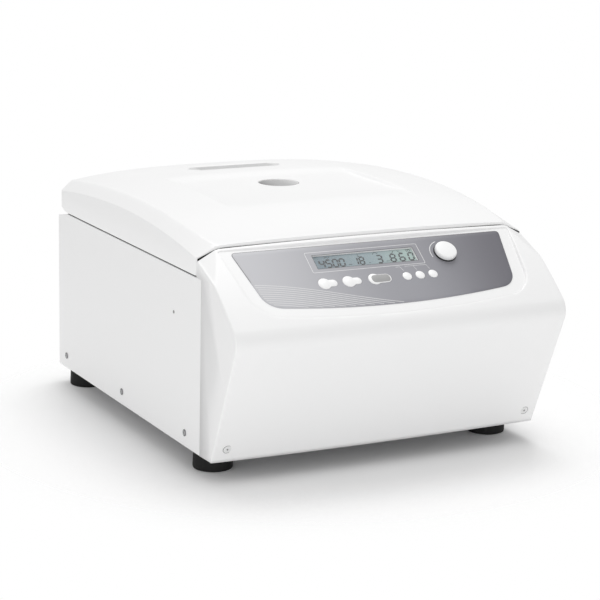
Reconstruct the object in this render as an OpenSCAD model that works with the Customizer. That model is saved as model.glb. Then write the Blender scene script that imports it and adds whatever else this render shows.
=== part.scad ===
// Bench centrifuge for microplates, with a hinged lid and a swing-out rotor for two plates.
// Lengths are millimetres. The machine is drawn with x across it, y from the foot of the front
// panel to the rear, and z up from the underside of the case; placed() then stands it on the floor.

/* [Case] */
// Width of the case
case_w = 430; // [420:1:470]
// Height of the deck above the underside of the case
deck_h = 205; // [200:1:225]
// Thickness of the case sheets
sheet_t = 1.2; // [0.8:0.1:2]
// Thickness of the base pan and of the deck
plate_t = 1.5; // [1:0.1:2.5]
// Fall of the case top behind the lid hinge
rear_fall = 6; // [4:0.5:9]
// Length over which the case top falls
rear_fall_len = 30; // [24:1:32]
// Height of the flanges that stand up round the base pan
pan_flange_h = 28; // [24:1:40]

/* [Feet and screws] */
// Height of a foot
foot_h = 24; // [16:1:40]
// Radius of a foot at its foot end
foot_r = 23.4; // [16:0.1:27]
// Distance of the foot centres from the sides
foot_inset = 29.5; // [28:0.5:45]
// Distance of the front foot centres behind the foot of the front panel
foot_front_y = 57.3; // [45:0.1:80]
// Distance of the rear foot centres from the rear
foot_rear_gap = 27.4; // [28:0.1:50]
// Radius of the screws that hold the side panels
side_screw_r = 2; // [1.5:0.1:2.5]
// Height of the side screws above the underside
side_screw_z = 16.3; // [12:0.1:20]
// Distance of the front and rear side screws from the ends of the side panels
side_screw_end = 35; // [28:0.5:60]

/* [Front panel] */
// How far the bulge stands out in front of the panel's foot
bulge_reach = 61.5; // [55:0.5:70]
// Height of the middle of the bulge
bulge_z = 149; // [140:1:156]
// Radius of the bulge
bulge_r = 22; // [16:0.5:30]
// Slope of the control face
face_angle = 36; // [33:0.5:38]
// How much steeper the brow starts than the control face
brow_angle = 5.25; // [3:0.25:7]
// Bow of the front panel in plan
front_bow = 5; // [3:0.5:8]
// Wall of the front panel
panel_t = 3.5; // [2.5:0.1:4.5]
// Depth of the seam between front panel and side panels
side_seam_y = 30; // [24:1:36]
// Depth of the seam between front panel and lid
lid_seam_y = 43; // [40:1:50]

/* [Control face] */
// Half width of the control overlay at its top edge
overlay_half_w = 177.5; // [160:0.5:184]
// Distance of the overlay's bottom edge below the lid seam, down the slope
overlay_end = 104.5; // [98:0.5:108]
// Thickness of the overlay
overlay_t = 0.6; // [0.3:0.1:1]
// Border of plain panel round the overlay
face_border = 14.5; // [10:0.5:16]
// Width of the display window
window_w = 131; // [110:1:140]
// Height of the display window along the slope
window_h = 20; // [16:0.5:26]
// Centre of the display window to the right of the middle
window_x = -14; // [-24:1:-6]
// Distance of the display centre below the lid seam
window_s = 33.2; // [30:0.1:36]
// Radius of the setting knob
knob_r = 13.5; // [10:0.5:15]
// Height of the setting knob
knob_h = 6; // [5:0.5:14]
// Place of the knob to the right of the middle
knob_x = 90.8; // [86:0.1:105]
// Radius of the three small keys
small_key_r = 5.8; // [4:0.1:7]
// Spacing of the small keys
small_key_pitch = 17.2; // [16.4:0.1:20]
// Place of the middle small key
small_key_x = 43.9; // [40:0.1:52]
// Radius of the round end of a wide key
wide_key_r = 8; // [6:0.1:9]
// Distance of all the keys below the lid seam
key_s = 66; // [62:0.5:70]
// Travel of a key
key_travel = 0.8; // [0.4:0.1:1.2]

/* [Lid] */
// Wall of the lid
lid_t = 3.5; // [2.5:0.1:5]
// Height of the lid's side creases above the control face's top, at their highest point
lid_rise = 22.4; // [12:0.2:26]
// The same height at the lid's front edge
lid_proud = 3.4; // [0:0.1:5]
// The same height at the lid's rear edge
lid_rear_rise = 8.5; // [4:0.5:14]
// Height that the middle of the lid stands above its side creases
lid_crown = 8.8; // [6:0.1:14]
// Width of the bevel at the top corners of the front panel
bevel_w = 24.3; // [16:0.1:32]
// Width of the bevel along the lid's sides, which it narrows to
lid_bevel_w = 14.5; // [10:0.5:24]
// Fall of both bevels
bevel_drop = 13; // [9:0.5:16]
// Depth of the shallow recess in the lid's top
recess_depth = 4; // [2:0.5:6]
// Half width of the recess
recess_half_w = 127; // [110:1:140]
// Distance of the lid's rear face from the rear of the case
lid_rear_gap = 7; // [6:0.5:12]
// Height of the lid hinge axis above the deck
hinge_h = 11; // [9:0.5:14]
// Distance of the hinge axis from the lid's rear face
hinge_in = 11; // [10:0.5:14]
// Radius of the hinge pins
hinge_pin_r = 4; // [3:0.25:5]
// Distance of the hinges from the middle
hinge_x = 140; // [120:1:160]
// Radius of the sight window in the lid
sight_r = 25.5; // [18:0.5:30]
// Width of the air grille in the lid
air_grille_w = 132; // [90:1:140]
// Depth of the air grille
air_grille_d = 34; // [20:0.5:38]

/* [Chamber and rotor] */
// Room between the latch motor and the guard ring
latch_clear = 8.5; // [6:0.5:14]
// Room between the guard ring and the fan
fan_clear = 12.8; // [10:0.2:30]
// Inner radius of the chamber bowl
bowl_r = 157.5; // [150:0.5:160]
// Depth of the chamber below the deck
bowl_depth = 127; // [122:1:130]
// Wall of the chamber bowl
bowl_t = 1; // [0.8:0.1:1.5]
// Wall of the steel guard ring round the bowl
guard_t = 5; // [3:0.5:8]
// Depth of the bucket pivots below the deck
pivot_drop = 55; // [53:0.5:57]
// Distance of the bucket pivots from the rotor axis
pivot_x = 75; // [74:0.5:80]
// Radius of the trunnion pins
trunnion_r = 5; // [4:0.25:6]
// Inner length of a bucket, for a microplate's long side
bucket_l = 129.6; // [128.6:0.1:131]
// Inner width of a bucket, for a microplate's short side
bucket_w = 87.4; // [86.4:0.1:88.4]
// Wall and floor of a bucket
bucket_t = 2.5; // [2:0.1:3]
// Height of a bucket's side walls
bucket_h = 26; // [18:1:32]
// Radius of the motor shaft
shaft_r = 8; // [6:0.5:10]
// Radius of the motor
motor_r = 55; // [45:1:65]

/* [Fits] */
// Radial clearance of a turning fit
run_gap = 0.05; // [0.03:0.01:0.1]
// Radial clearance of a fixed fit
fixed_gap = 0.02; // [0.01:0.01:0.03]
// Clearance between neighbouring parts that don't move
seat_gap = 0.3; // [0.2:0.05:0.5]
// Clearance round keys and other moving parts
move_gap = 0.3; // [0.2:0.05:0.5]

/* [Hidden] */
$fn = 64;
SIDES = [-1, 1];

// The guard ring stands between the latch and the fan, which gives the depth of the case
bowl_out = bowl_r + bowl_t;
deck_hole_r = bowl_out + 1;
guard_in = deck_hole_r + 2.5;
guard_out = guard_in + guard_t;
striker_y = lid_seam_y + 19;
striker_t = 3;
latch_front = striker_y + striker_t / 2 + 2;
latch_d = 18;
latch_motor_d = 9;
fan_d = 25;
chamber_y = latch_front + latch_d + latch_motor_d + latch_clear + guard_out;
case_d = chamber_y + guard_out + fan_clear + fan_d + sheet_t;

// Frame of the whole machine
half_w = case_w / 2;
inlet_proud = 3;
row_y = (bulge_reach + front_bow - case_d - inlet_proud) / 2;

// Heights and depths that several pieces share
pan_top = plate_t;
inner_half_w = half_w - sheet_t;
rear_in = case_d - sheet_t;
lid_gap = 1;
lid_front = lid_seam_y + lid_gap;
lid_rear = case_d - lid_rear_gap;
lid_bottom = deck_h + 1.5;
liner_z = deck_h + 7.3;
liner_t = 2.5;
liner_top = liner_z + liner_t;
hinge_y = lid_rear - hinge_in;
hinge_z = deck_h + hinge_h;
pivot_z = deck_h - pivot_drop;
bowl_floor = deck_h - bowl_depth;
motor_top = bowl_floor - 6;
foot_centre_x = half_w - foot_inset;
foot_rear_y = case_d - foot_rear_gap;

// Feet, screws and the release hole
foot_screw_r = 3;
foot_bore_r = 6.2;
foot_bore_h = 14;
side_screw_ys = [
    side_seam_y + side_screw_end + 6,
    (side_seam_y + case_d) / 2 + 7.5,
    case_d - side_screw_end + 8
];
front_screw_r = 5.3;
front_screw_sink = 1.2;
front_screw_x = half_w - 17;
front_screw_z = 16.6;
release_r = 1.8;
release_y = side_seam_y + 74.7;
release_z = deck_h - 53;

// Side profile of the front panel: a straight foot, the bulge and the brow
bulge_y = -bulge_reach + bulge_r;
brow_slope = face_angle + brow_angle;
foot_reach = norm([bulge_y, bulge_z]);
foot_angle = atan2(bulge_z, bulge_y) + asin(bulge_r / foot_reach);
face_point_y = bulge_y - bulge_r * sin(face_angle);
face_point_z = bulge_z + bulge_r * cos(face_angle);
face_z = face_point_z + (lid_seam_y - face_point_y) * tan(face_angle);
brow_y = bulge_y - bulge_r * sin(brow_slope);
brow_z = bulge_z + bulge_r * cos(brow_slope);
brow_chord = norm([lid_seam_y - brow_y, face_z - brow_z]);
brow_chord_slope = atan2(face_z - brow_z, lid_seam_y - brow_y);
brow_r = brow_chord / (2 * sin(brow_slope - brow_chord_slope));
brow_end = asin((brow_y + brow_r * sin(brow_slope) - lid_seam_y - front_bow - 4) / brow_r);
bow_r = half_w * half_w / (2 * front_bow);
bow_steps = 12;
bevel_slope_y = 22.2;

// Lid surface
lid_peak_y = chamber_y - 13;
crown_front = 3;
crown_power = 3;
crown_run = 120;
crown_rear = 2.7;
crown_rear_run = 117;
bevel_x = half_w - bevel_w;
bevel_run = 45;
crease_from = 150;
recess_front = chamber_y - 126;
recess_rear = chamber_y + 44;
recess_wall = 34;
recess_side_fall = 1.4;
recess_blend = 0.5;
rear_round = 3;
rear_lift = 5.5;
rear_lift_len = 20;
air_grille_y = chamber_y + 130;
air_grille_t = 2;
sight_glass_t = 2.5;

// Control face
face_top_s = 5;
face_corner_r = 40;
overlay_top_s = 9;
overlay_corner_r = 25;
overlay_taper = 0.19;
face_taper = 0.15;
edge_crown_r = 1100;
board_depth = 10;
board_t = 1.6;
board_x = -6;
board_s = 50;
board_half_w = 118;
board_half_h = 31;
key_cap = 1.2;
key_rim = 1.2;
key_rim_t = 1.2;
key_depth = panel_t + move_gap + key_rim_t;
switch_top = key_depth + key_travel + 0.1;
pulse_key_x = -80.6;
open_key_x = -49.4;
start_key_x = -16.1;
knob_s = 36;
encoder_r = 3;
knob_bezel_t = 0.8;
glass_depth = 1.3;

// Lid hinges
bracket_t = 6;
bracket_x = hinge_x - 3;
arm_x = bracket_x + bracket_t / 2 + 4;
hinge_eye_r = 7;

// Latch
striker_half_w = 11;
bolt_w = 10;
bolt_h = 6;
bolt_z = deck_h - 17;
bolt_travel = 9;
latch_half_w = 24;

// Motor
motor_plate_half = 100;
motor_plate_low = 40;
motor_plate_t = 5;
damper_x = 80;
damper_r = 14;
damper_stem_r = 4;
motor_low = 14;
bearing_t = 10;

// Rotor
nut_low = pivot_z + 14;
stud_r = 5;
rotor_screw_r = 2.5;
hub_r = 24;
web_half = 14;
arm_in = bucket_l / 2 + bucket_t + 4.7;
arm_t = 6;
arm_half_h = 10;
ear_out = bucket_l / 2 + 5;
bucket_floor = pivot_z - 48;

// Power supply
board_left = -half_w + 30;
board_w = 120;
board_front = side_seam_y + 12;
board_deep = 56;
power_board_z = pan_top + 8;
capacitor_r = 11;
capacitor_h = 30;
capacitor_pitch = 26;
heat_sink_size = [88, 14, 36];
fuse_size = [16, 18, 14];

// Rear connections
inlet_x = half_w - 95;
inlet_z = 45;
switch_x = inlet_x - 50;
fan_x = -inlet_x;
fan_z = 75;
fan_size = 80;
fan_r = fan_size / 2 - 2.5;
fan_screw_x = 35.75;
fan_screw_r = 2.2;
inlet_half_w = 14;
inlet_half_h = 10;
rocker_half = 6;
rocker_h = 16.6;
rocker_y = case_d - 4;
rocker_tilt = -7;
rocker_pin_r = 1.2;

// Stands the machine on the floor, with the middle of its length at the origin.
module placed() {
    translate([0, row_y, foot_h]) children();
}

// Extrudes a shape drawn in depth and height across the machine.
module across(width) {
    rotate([90, 0, 90]) linear_extrude(width, center = true) children();
}

// Puts a thing on the control face: x across, s down the slope, z out of the face.
module on_face(x = 0, s = 0, lift = 0) {
    translate([0, lid_seam_y, face_z]) rotate([face_angle, 0, 0]) translate([x, -s, lift]) children();
}

module mirror_pair() {
    for (side = SIDES) mirror([side < 0 ? 1 : 0, 0, 0]) children();
}

// Height of the case top, which falls behind the hinge.
function deck_top(y) =
    let (fall_start = case_d - rear_fall_len)
    y <= fall_start ? deck_h : deck_h - rear_fall * (y - fall_start) / rear_fall_len;

function smooth(t) = let (u = min(max(t, 0), 1)) u * u * (3 - 2 * u);

// Height of the lid's outer face. Its side creases follow an arch, its middle is crowned, and
// outside the creases a bevel falls to the sides.
function lid_edge(y) =
    y < lid_peak_y
        ? face_z + lid_rise - (lid_rise - lid_proud) * pow((lid_peak_y - y) / (lid_peak_y - lid_front), 2)
        : face_z + lid_rise - (lid_rise - lid_rear_rise) * pow((y - lid_peak_y) / (lid_rear - lid_peak_y), 2);
function crease_x(y) = half_w - lid_bevel_w - (bevel_w - lid_bevel_w) * exp((lid_front - y) / bevel_run);
function lid_crown_at(y) =
    crown_front + (lid_crown - crown_front) * smooth((y - lid_front) / crown_run)
        + crown_rear * smooth((y - lid_rear + crown_rear_run) / crown_rear_run);
function lid_arch(x, y) =
    abs(x) <= crease_x(y)
        ? lid_edge(y) + lid_crown_at(y) * (1 - pow(abs(x) / crease_x(y), crown_power))
        : lid_edge(y) - bevel_drop * (abs(x) - crease_x(y)) / (half_w - crease_x(y));

// The recess lowers the crown to a nearly flat floor that runs out towards the front.
function recess_floor(x) =
    lid_arch(0, recess_rear) - recess_depth - recess_side_fall * pow(x / recess_half_w, 2);
function recess_share(x, y) =
    smooth((recess_half_w - abs(x)) / 6) * (1 - smooth((y - recess_rear) / recess_wall));
function lid_outer(x, y) =
    let (arch = lid_arch(x, y))
    let (over = arch - recess_floor(x))
    let (cut = (over + sqrt(over * over + 4 * recess_blend * recess_blend)) / 2)
    arch - cut * recess_share(x, y) - rear_drop(y);
function rear_drop(y) =
    let (t = max(y - (lid_rear - rear_round), 0) / rear_round)
    rear_round * 0.5 * (1 - sqrt(1 - t * t * 0.99));
function lid_under(x, y) = lid_bottom + rear_lift * smooth((y - lid_rear + rear_lift_len) / rear_lift_len);

// Moves a station beside the lid's side crease so that the row at bevel_x follows the crease.
function follow_crease(x, y, edge) =
    let (share = abs(x) <= bevel_x ? (abs(x) - crease_from) / (bevel_x - crease_from)
        : (edge - abs(x)) / (edge - bevel_x))
    x + sign(x) * (crease_x(y) - bevel_x) * max(share, 0);

// A closed block between two height functions, over a grid of stations across and along the lid.
module height_block(xs, ys, top, bottom) {
    nx = len(xs);
    ny = len(ys);
    count = nx * ny;
    places = [for (y = ys) for (x = xs) [follow_crease(x, y, xs[nx - 1]), y]];
    points = concat(
        [for (p = places) [p[0], p[1], top(p[0], p[1])]],
        [for (p = places) [p[0], p[1], bottom(p[0], p[1])]]);
    top_faces = [for (j = [0:ny - 2]) for (i = [0:nx - 2])
        for (f = [[j * nx + i, (j + 1) * nx + i, (j + 1) * nx + i + 1],
                  [j * nx + i, (j + 1) * nx + i + 1, j * nx + i + 1]]) f];
    bottom_faces = [for (f = top_faces) [f[0] + count, f[2] + count, f[1] + count]];
    function wall(a, b) = [[a, b, b + count], [a, b + count, a + count]];
    front_faces = [for (i = [0:nx - 2]) for (f = wall(i, i + 1)) f];
    rear_faces = [for (i = [0:nx - 2]) for (f = wall((ny - 1) * nx + i + 1, (ny - 1) * nx + i)) f];
    left_faces = [for (j = [0:ny - 2]) for (f = wall((j + 1) * nx, j * nx)) f];
    right_faces = [for (j = [0:ny - 2]) for (f = wall(j * nx + nx - 1, (j + 1) * nx + nx - 1)) f];
    polyhedron(points, concat(top_faces, bottom_faces, front_faces, rear_faces, left_faces, right_faces));
}

// Stations for the lid surface, mirrored about the middle.
function mirrored(list) = concat([for (i = [len(list) - 1:-1:0]) -list[i]], [0], list);
lid_xs = mirrored([30, 60, 90, 110, recess_half_w - 6, recess_half_w - 3, recess_half_w, 145, 160, 176,
    bevel_x, half_w]);
lid_inner_xs = mirrored([45, 90, recess_half_w - 6, recess_half_w, 160, bevel_x, half_w - lid_t]);
function spread(from, to, steps) = [for (i = [0:steps]) from + (to - from) * i / steps];
lid_ys = concat(spread(lid_front, recess_rear, 10), spread(recess_rear + 10, recess_rear + recess_wall, 3),
    spread(recess_rear + recess_wall + 24, lid_rear - rear_round, 3),
    [lid_rear - rear_round / 2, lid_rear - rear_round / 4, lid_rear]);
lid_inner_ys = concat(spread(lid_front + lid_t, recess_rear, 8),
    spread(recess_rear + 12, recess_rear + recess_wall, 2),
    spread(recess_rear + recess_wall + 24, lid_rear - lid_t, 4));

// Points of the front panel's side profile, drawn in by a wall of thickness t.
function profile_points(t, low_z) =
    let (foot_dir = [cos(foot_angle), sin(foot_angle)])
    let (foot_top = [bulge_y, bulge_z] + (bulge_r - t) * [cos(foot_angle + 90), sin(foot_angle + 90)])
    let (foot_low = foot_top - foot_dir * (foot_top[1] - low_z) / foot_dir[1])
    let (start = foot_angle + 90)
    let (end = 90 + brow_slope)
    let (bulge_angles = concat(spread(start, 180, 4), spread(180 + (end - 180) / 8, end, 7)))
    let (bulge_arc = [for (a = bulge_angles)
        [bulge_y + (bulge_r - t) * cos(a), bulge_z + (bulge_r - t) * sin(a)]])
    let (brow_centre = [brow_y + brow_r * sin(brow_slope), brow_z - brow_r * cos(brow_slope)])
    let (brow_arc = [for (i = [1:12]) let (a = brow_slope + (brow_end - brow_slope) * i / 12)
        [brow_centre[0] - (brow_r - t) * sin(a), brow_centre[1] + (brow_r - t) * cos(a)]])
    let (last = brow_arc[11])
    concat([foot_low], bulge_arc, brow_arc, [[last[0], low_z]]);

// Sweeps the side profile along the bow of the front.
module bowed_profile(t, low_z) {
    axis_y = bow_r - front_bow;
    half_angle = asin((half_w + 6) / (bow_r - half_w));
    points = [for (p = profile_points(t, low_z)) [axis_y + front_bow - p[0], p[1]]];
    translate([0, axis_y, 0]) rotate([0, 0, -90 - half_angle])
        rotate_extrude(angle = 2 * half_angle, $fn = 1080) polygon(points);
}

// Outline on the control face: tapering sides, round lower corners and a crowned lower edge.
function face_outline(half_top, top_s, end_s, taper, corner_r) =
    let (inner_r = edge_crown_r - corner_r)
    let (crown_s = end_s - edge_crown_r)
    let (lean = sqrt(1 + taper * taper))
    let (first_s = end_s - corner_r - 8)
    let (first_x = half_top - taper * (first_s - top_s) - corner_r * lean)
    let (corner_s = crown_s + sqrt(inner_r * inner_r - first_x * first_x))
    let (corner_x = half_top - taper * (corner_s - top_s) - corner_r * lean)
    let (side_a = atan(taper))
    let (low_a = 90 - atan2(corner_x, corner_s - crown_s))
    let (corner = [for (i = [0:8]) let (a = side_a + (low_a - side_a) * i / 8)
        [corner_x + corner_r * cos(a), corner_s + corner_r * sin(a)]])
    let (low_x = corner[8][0])
    let (low = [for (i = [1:5]) let (x = low_x * (1 - i / 5))
        [x, crown_s + sqrt(edge_crown_r * edge_crown_r - x * x)]])
    let (right = concat([[half_top, top_s]], corner, low))
    concat([for (p = right) [p[0], -p[1]]], [for (i = [len(right) - 2:-1:0]) [-right[i][0], -right[i][1]]]);

module face_shape() {
    polygon(face_outline(overlay_half_w + face_border, face_top_s, overlay_end + face_border,
        face_taper, face_corner_r));
}

module overlay_shape() {
    polygon(face_outline(overlay_half_w, overlay_top_s, overlay_end, overlay_taper, overlay_corner_r));
}

// Cuts away what lies above the bevel at the front panel's top corners.
module corner_bevel(drop) {
    slope_x = bevel_drop / bevel_w;
    tilt = atan(slope_x * cos(bevel_slope_y));
    mirror_pair() translate([bevel_x, lid_seam_y, face_z + 0.6 - drop]) rotate([bevel_slope_y, 0, 0])
        rotate([0, tilt, 0]) translate([-60, -160, 0]) cube([160, 260, 60]);
}

module display_opening(grow, depth, height) {
    on_face(window_x, window_s, -depth) translate([-window_w / 2 - grow, -window_h / 2 - grow, 0])
        cube([window_w + 2 * grow, window_h + 2 * grow, height]);
}

// Plan of a wide key: a round end with a bar beside it.
module wide_key_shape(grow, bar_r, bar_x) {
    circle(r = wide_key_r + grow);
    translate([bar_x, 0]) circle(r = bar_r + grow);
    translate([0, -bar_r - grow]) square([bar_x, 2 * (bar_r + grow)]);
}

function bar_r(kind) = kind == "start" ? wide_key_r - 1.7 : wide_key_r - 3;
function bar_x(kind) = kind == "start" ? wide_key_r + 7.2 : wide_key_r + 3;

module key_shape(kind, grow = 0) {
    if (kind == "small") circle(r = small_key_r + grow);
    if (kind != "small") wide_key_shape(grow, bar_r(kind), bar_x(kind));
}

KEYS = [
    ["pulse", pulse_key_x],
    ["open", open_key_x],
    ["start", start_key_x],
    ["small", small_key_x - small_key_pitch],
    ["small", small_key_x],
    ["small", small_key_x + small_key_pitch]
];

module key_holes(from, height) {
    for (key = KEYS) on_face(key[1], key_s, from) linear_extrude(height) key_shape(key[0], move_gap);
}

// A key: the cap that shows, and a rim behind the panel that keeps it in.
module key(index) {
    kind = KEYS[index][0];
    placed() on_face(KEYS[index][1], key_s, -key_depth) {
        linear_extrude(key_depth + key_cap) key_shape(kind);
        linear_extrude(key_rim_t) key_shape(kind, key_rim);
    }
}

module base_pan() {
    pan_half = inner_half_w - seat_gap;
    tongue_half = half_w - panel_t - seat_gap;
    front_y = side_seam_y - 24;
    wide_y = side_seam_y + seat_gap;
    rear_y = rear_in - seat_gap;
    color("silver") placed() difference() {
        union() {
            translate([-pan_half, wide_y, 0]) cube([2 * pan_half, rear_y - wide_y, plate_t]);
            translate([-tongue_half, front_y, 0]) cube([2 * tongue_half, wide_y - front_y + 1, plate_t]);
            for (side = SIDES) translate([side < 0 ? -pan_half : pan_half - plate_t, wide_y, 0])
                cube([plate_t, rear_y - wide_y, pan_flange_h]);
            translate([-pan_half, rear_y - plate_t, 0]) cube([2 * pan_half, plate_t, pan_flange_h / 2]);
            translate([-tongue_half, front_y, 0]) cube([2 * tongue_half, plate_t, 8]);
        }
        foot_places() cylinder(r = foot_screw_r + 0.2, h = 40, center = true);
        side_screw_places() rotate([0, 90, 0]) cylinder(r = side_screw_r - fixed_gap, h = 20, center = true);
        for (i = [-4:4]) translate([i * 16 - 3, chamber_y - 30, -1]) cube([6, 60, plate_t + 2]);
    }
}

module foot_places() {
    for (side = SIDES) for (y = [foot_front_y, foot_rear_y])
        translate([side * foot_centre_x, y, 0]) children();
}

module side_screw_places() {
    for (side = SIDES) for (y = side_screw_ys)
        translate([side * (half_w - sheet_t / 2), y, side_screw_z]) children();
}

module side_panel(side) {
    front_y = side_seam_y + seat_gap;
    placed() difference() {
        translate([side * (half_w - sheet_t / 2), 0, 0]) across(sheet_t) polygon([
            [front_y, 0],
            [case_d, 0],
            [case_d, deck_top(case_d)],
            [case_d - rear_fall_len, deck_h],
            [front_y, deck_h]]);
        side_screw_places() rotate([0, 90, 0]) cylinder(r = side_screw_r + 0.2, h = 4 * sheet_t, center = true);
        if (side < 0) release_place() cylinder(r = release_r, h = 4 * sheet_t, center = true);
    }
}

module release_place() {
    translate([-half_w + sheet_t / 2, release_y, release_z]) rotate([0, 90, 0]) children();
}

module left_side_panel() {
    color("white") side_panel(-1);
}

module right_side_panel() {
    color("white") side_panel(1);
}

module rear_panel() {
    low = plate_t + seat_gap;
    width = inner_half_w - seat_gap;
    color("white") placed() difference() {
        translate([-width, rear_in, low]) cube([2 * width, sheet_t, deck_top(case_d) - low - 1]);
        rear_cut(inlet_x, inlet_z, inlet_half_w, inlet_half_h);
        rear_cut(inlet_x, inlet_z + 19, inlet_half_w, 5);
        rear_cut(switch_x, inlet_z, rocker_half + 0.7, 10);
        fan_place() translate([0, 0, -2 * sheet_t]) {
            cylinder(r = fan_r - 0.5, h = 4 * sheet_t);
            fan_screw_places() cylinder(r = fan_screw_r, h = 4 * sheet_t);
        }
    }
}

// A rectangular hole through the rear sheet for a fitting of the given half sizes.
module rear_cut(x, z, half_x, half_z) {
    translate([x - half_x - seat_gap, rear_in - 1, z - half_z - seat_gap])
        cube([2 * (half_x + seat_gap), sheet_t + 2, 2 * (half_z + seat_gap)]);
}

module top_deck() {
    front_y = side_seam_y + 0.6;
    rear_y = rear_in - seat_gap;
    fall_y = case_d - rear_fall_len;
    color("white") placed() difference() {
        across(2 * (inner_half_w - seat_gap)) polygon([
            [front_y, deck_h],
            [front_y, deck_h - plate_t],
            [fall_y, deck_h - plate_t],
            [rear_y, deck_top(rear_y) - plate_t],
            [rear_y, deck_top(rear_y)],
            [fall_y, deck_h]]);
        translate([0, chamber_y, deck_h]) cylinder(r = deck_hole_r, h = 20, center = true, $fn = 128);
        translate([-striker_half_w - 4, striker_y - 7, deck_h - 10]) cube([2 * striker_half_w + 8, 14, 20]);
    }
}

module front_panel() {
    shelf = deck_h + panel_t;
    inner_y = lid_seam_y - panel_t;
    ledge_y = side_seam_y - panel_t;
    color("whitesmoke") placed() difference() {
        union() {
            difference() {
                intersection() {
                    bowed_profile(0, 0);
                    across(case_w) polygon([
                        [-200, 0],
                        [side_seam_y, 0],
                        [side_seam_y, deck_h],
                        [lid_seam_y, deck_h],
                        [lid_seam_y, 400],
                        [-200, 400]]);
                }
                on_face() linear_extrude(40) face_shape();
                corner_bevel(0);
                difference() {
                    intersection() {
                        bowed_profile(panel_t, -1);
                        across(case_w - 2 * panel_t) polygon([
                            [-200, -1],
                            [side_seam_y + 1, -1],
                            [side_seam_y + 1, deck_h - 2],
                            [ledge_y, deck_h - 2],
                            [ledge_y, shelf],
                            [inner_y, shelf],
                            [inner_y, 400],
                            [-200, 400]]);
                    }
                    on_face(0, 0, -panel_t) translate([-300, -300, 0]) cube([600, 600, 100]);
                    corner_bevel(panel_t * 1.25);
                }
            }
            board_boss_places() cylinder(r = 3.5, h = board_depth - panel_t + 0.5);
        }
        display_opening(seat_gap, glass_depth, 20);
        display_opening(-2, 20, 40);
        key_holes(-20, 40);
        on_face(knob_x, knob_s, -20) cylinder(r = encoder_r + 1, h = 40);
        front_screw_places() cylinder(r = front_screw_r + fixed_gap, h = 2 * front_screw_sink);
    }
}

// Places of the two screw heads low on the front, square to the panel's foot.
module front_screw_places() {
    axis_y = bow_r - front_bow;
    foot_y = front_screw_z / tan(foot_angle);
    bowed_y = axis_y - sqrt(pow(axis_y - foot_y + front_bow, 2) - front_screw_x * front_screw_x);
    for (side = SIDES) translate([side * front_screw_x, bowed_y, front_screw_z]) rotate([foot_angle, 0, 0])
        translate([0, 0, -front_screw_sink]) children();
}

// Places of the bosses that hold the control board, on the back of the control face.
module board_boss_places() {
    for (x = [-116, 104]) for (s = [24, 78]) on_face(x, s, -board_depth) children();
}

module control_overlay() {
    color("gray") placed() difference() {
        on_face() linear_extrude(overlay_t) overlay_shape();
        display_opening(seat_gap, 5, 10);
        key_holes(-5, 10);
        on_face(knob_x, knob_s, -5) cylinder(r = encoder_r + 1, h = 10);
    }
}

module display_window() {
    color("lightsteelblue") placed() display_opening(0, glass_depth, glass_depth + overlay_t - 0.15);
}

module display_module() {
    color("darkslategray") placed() on_face(window_x, window_s, -board_depth)
        translate([-window_w / 2 - 5, -window_h / 2 - 1.5, 0])
        cube([window_w + 10, window_h + 9, board_depth - panel_t - seat_gap]);
}

module control_board() {
    color("darkgreen") placed() difference() {
        on_face(board_x, board_s, -board_depth - board_t) translate([-board_half_w, -board_half_h, 0])
            cube([2 * board_half_w, 2 * board_half_h, board_t]);
        board_boss_places() cylinder(r = 1.5, h = 4 * board_t, center = true);
    }
}

module key_switches() {
    color("black") placed() for (key = KEYS) on_face(key[1], key_s, -board_depth) {
        translate([-3, -3, 0]) cube([6, 6, board_depth - switch_top - 0.6]);
        cylinder(r = 1.7, h = board_depth - switch_top);
    }
}

module knob_encoder() {
    color("dimgray") placed() on_face(knob_x, knob_s, -board_depth) {
        translate([-6.5, -6.5, 0]) cube([13, 13, board_depth - panel_t - seat_gap]);
        cylinder(r = encoder_r, h = board_depth + knob_h - 1);
    }
}

module knob_bezel() {
    color("black") placed() on_face(knob_x, knob_s, overlay_t) difference() {
        cylinder(r = knob_r + 0.7, h = knob_bezel_t);
        translate([0, 0, -1]) cylinder(r = encoder_r + 1, h = knob_bezel_t + 2);
    }
}

module setting_knob() {
    low = overlay_t + knob_bezel_t + move_gap;
    round_r = 3.5;
    color("white") placed() on_face(knob_x, knob_s, low) difference() {
        rotate_extrude() {
            translate([0, knob_h - round_r]) square([knob_r - round_r, round_r]);
            intersection() {
                translate([knob_r - round_r, knob_h - round_r]) circle(r = round_r);
                translate([0, knob_h - round_r]) square([2 * knob_r, 2 * round_r]);
            }
            square([knob_r, knob_h - round_r]);
        }
        translate([0, 0, -1]) cylinder(r = encoder_r + run_gap, h = knob_h - low);
    }
}

module pulse_key() {
    color("white") key(0);
}

module open_key() {
    color("white") key(1);
}

module start_key() {
    color("white") key(2);
}

module left_small_key() {
    color("white") key(3);
}

module middle_small_key() {
    color("white") key(4);
}

module right_small_key() {
    color("white") key(5);
}

// Opening in the lid for the air grille, level with the lid's surface there.
module air_grille_place() {
    tilt = atan2(lid_outer(0, air_grille_y + 8) - lid_outer(0, air_grille_y - 8), 16);
    low = lid_outer(air_grille_w / 2, air_grille_y);
    translate([0, air_grille_y, low]) rotate([tilt, 0, 0]) children();
}

module grille_plan(grow) {
    w = air_grille_w / 2 + grow;
    d = air_grille_d / 2 + grow;
    tip = air_grille_d / 3;
    polygon([[-w + tip, -d], [w - tip, -d], [w, 0], [w - tip, d], [-w + tip, d], [-w, 0]]);
}

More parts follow.
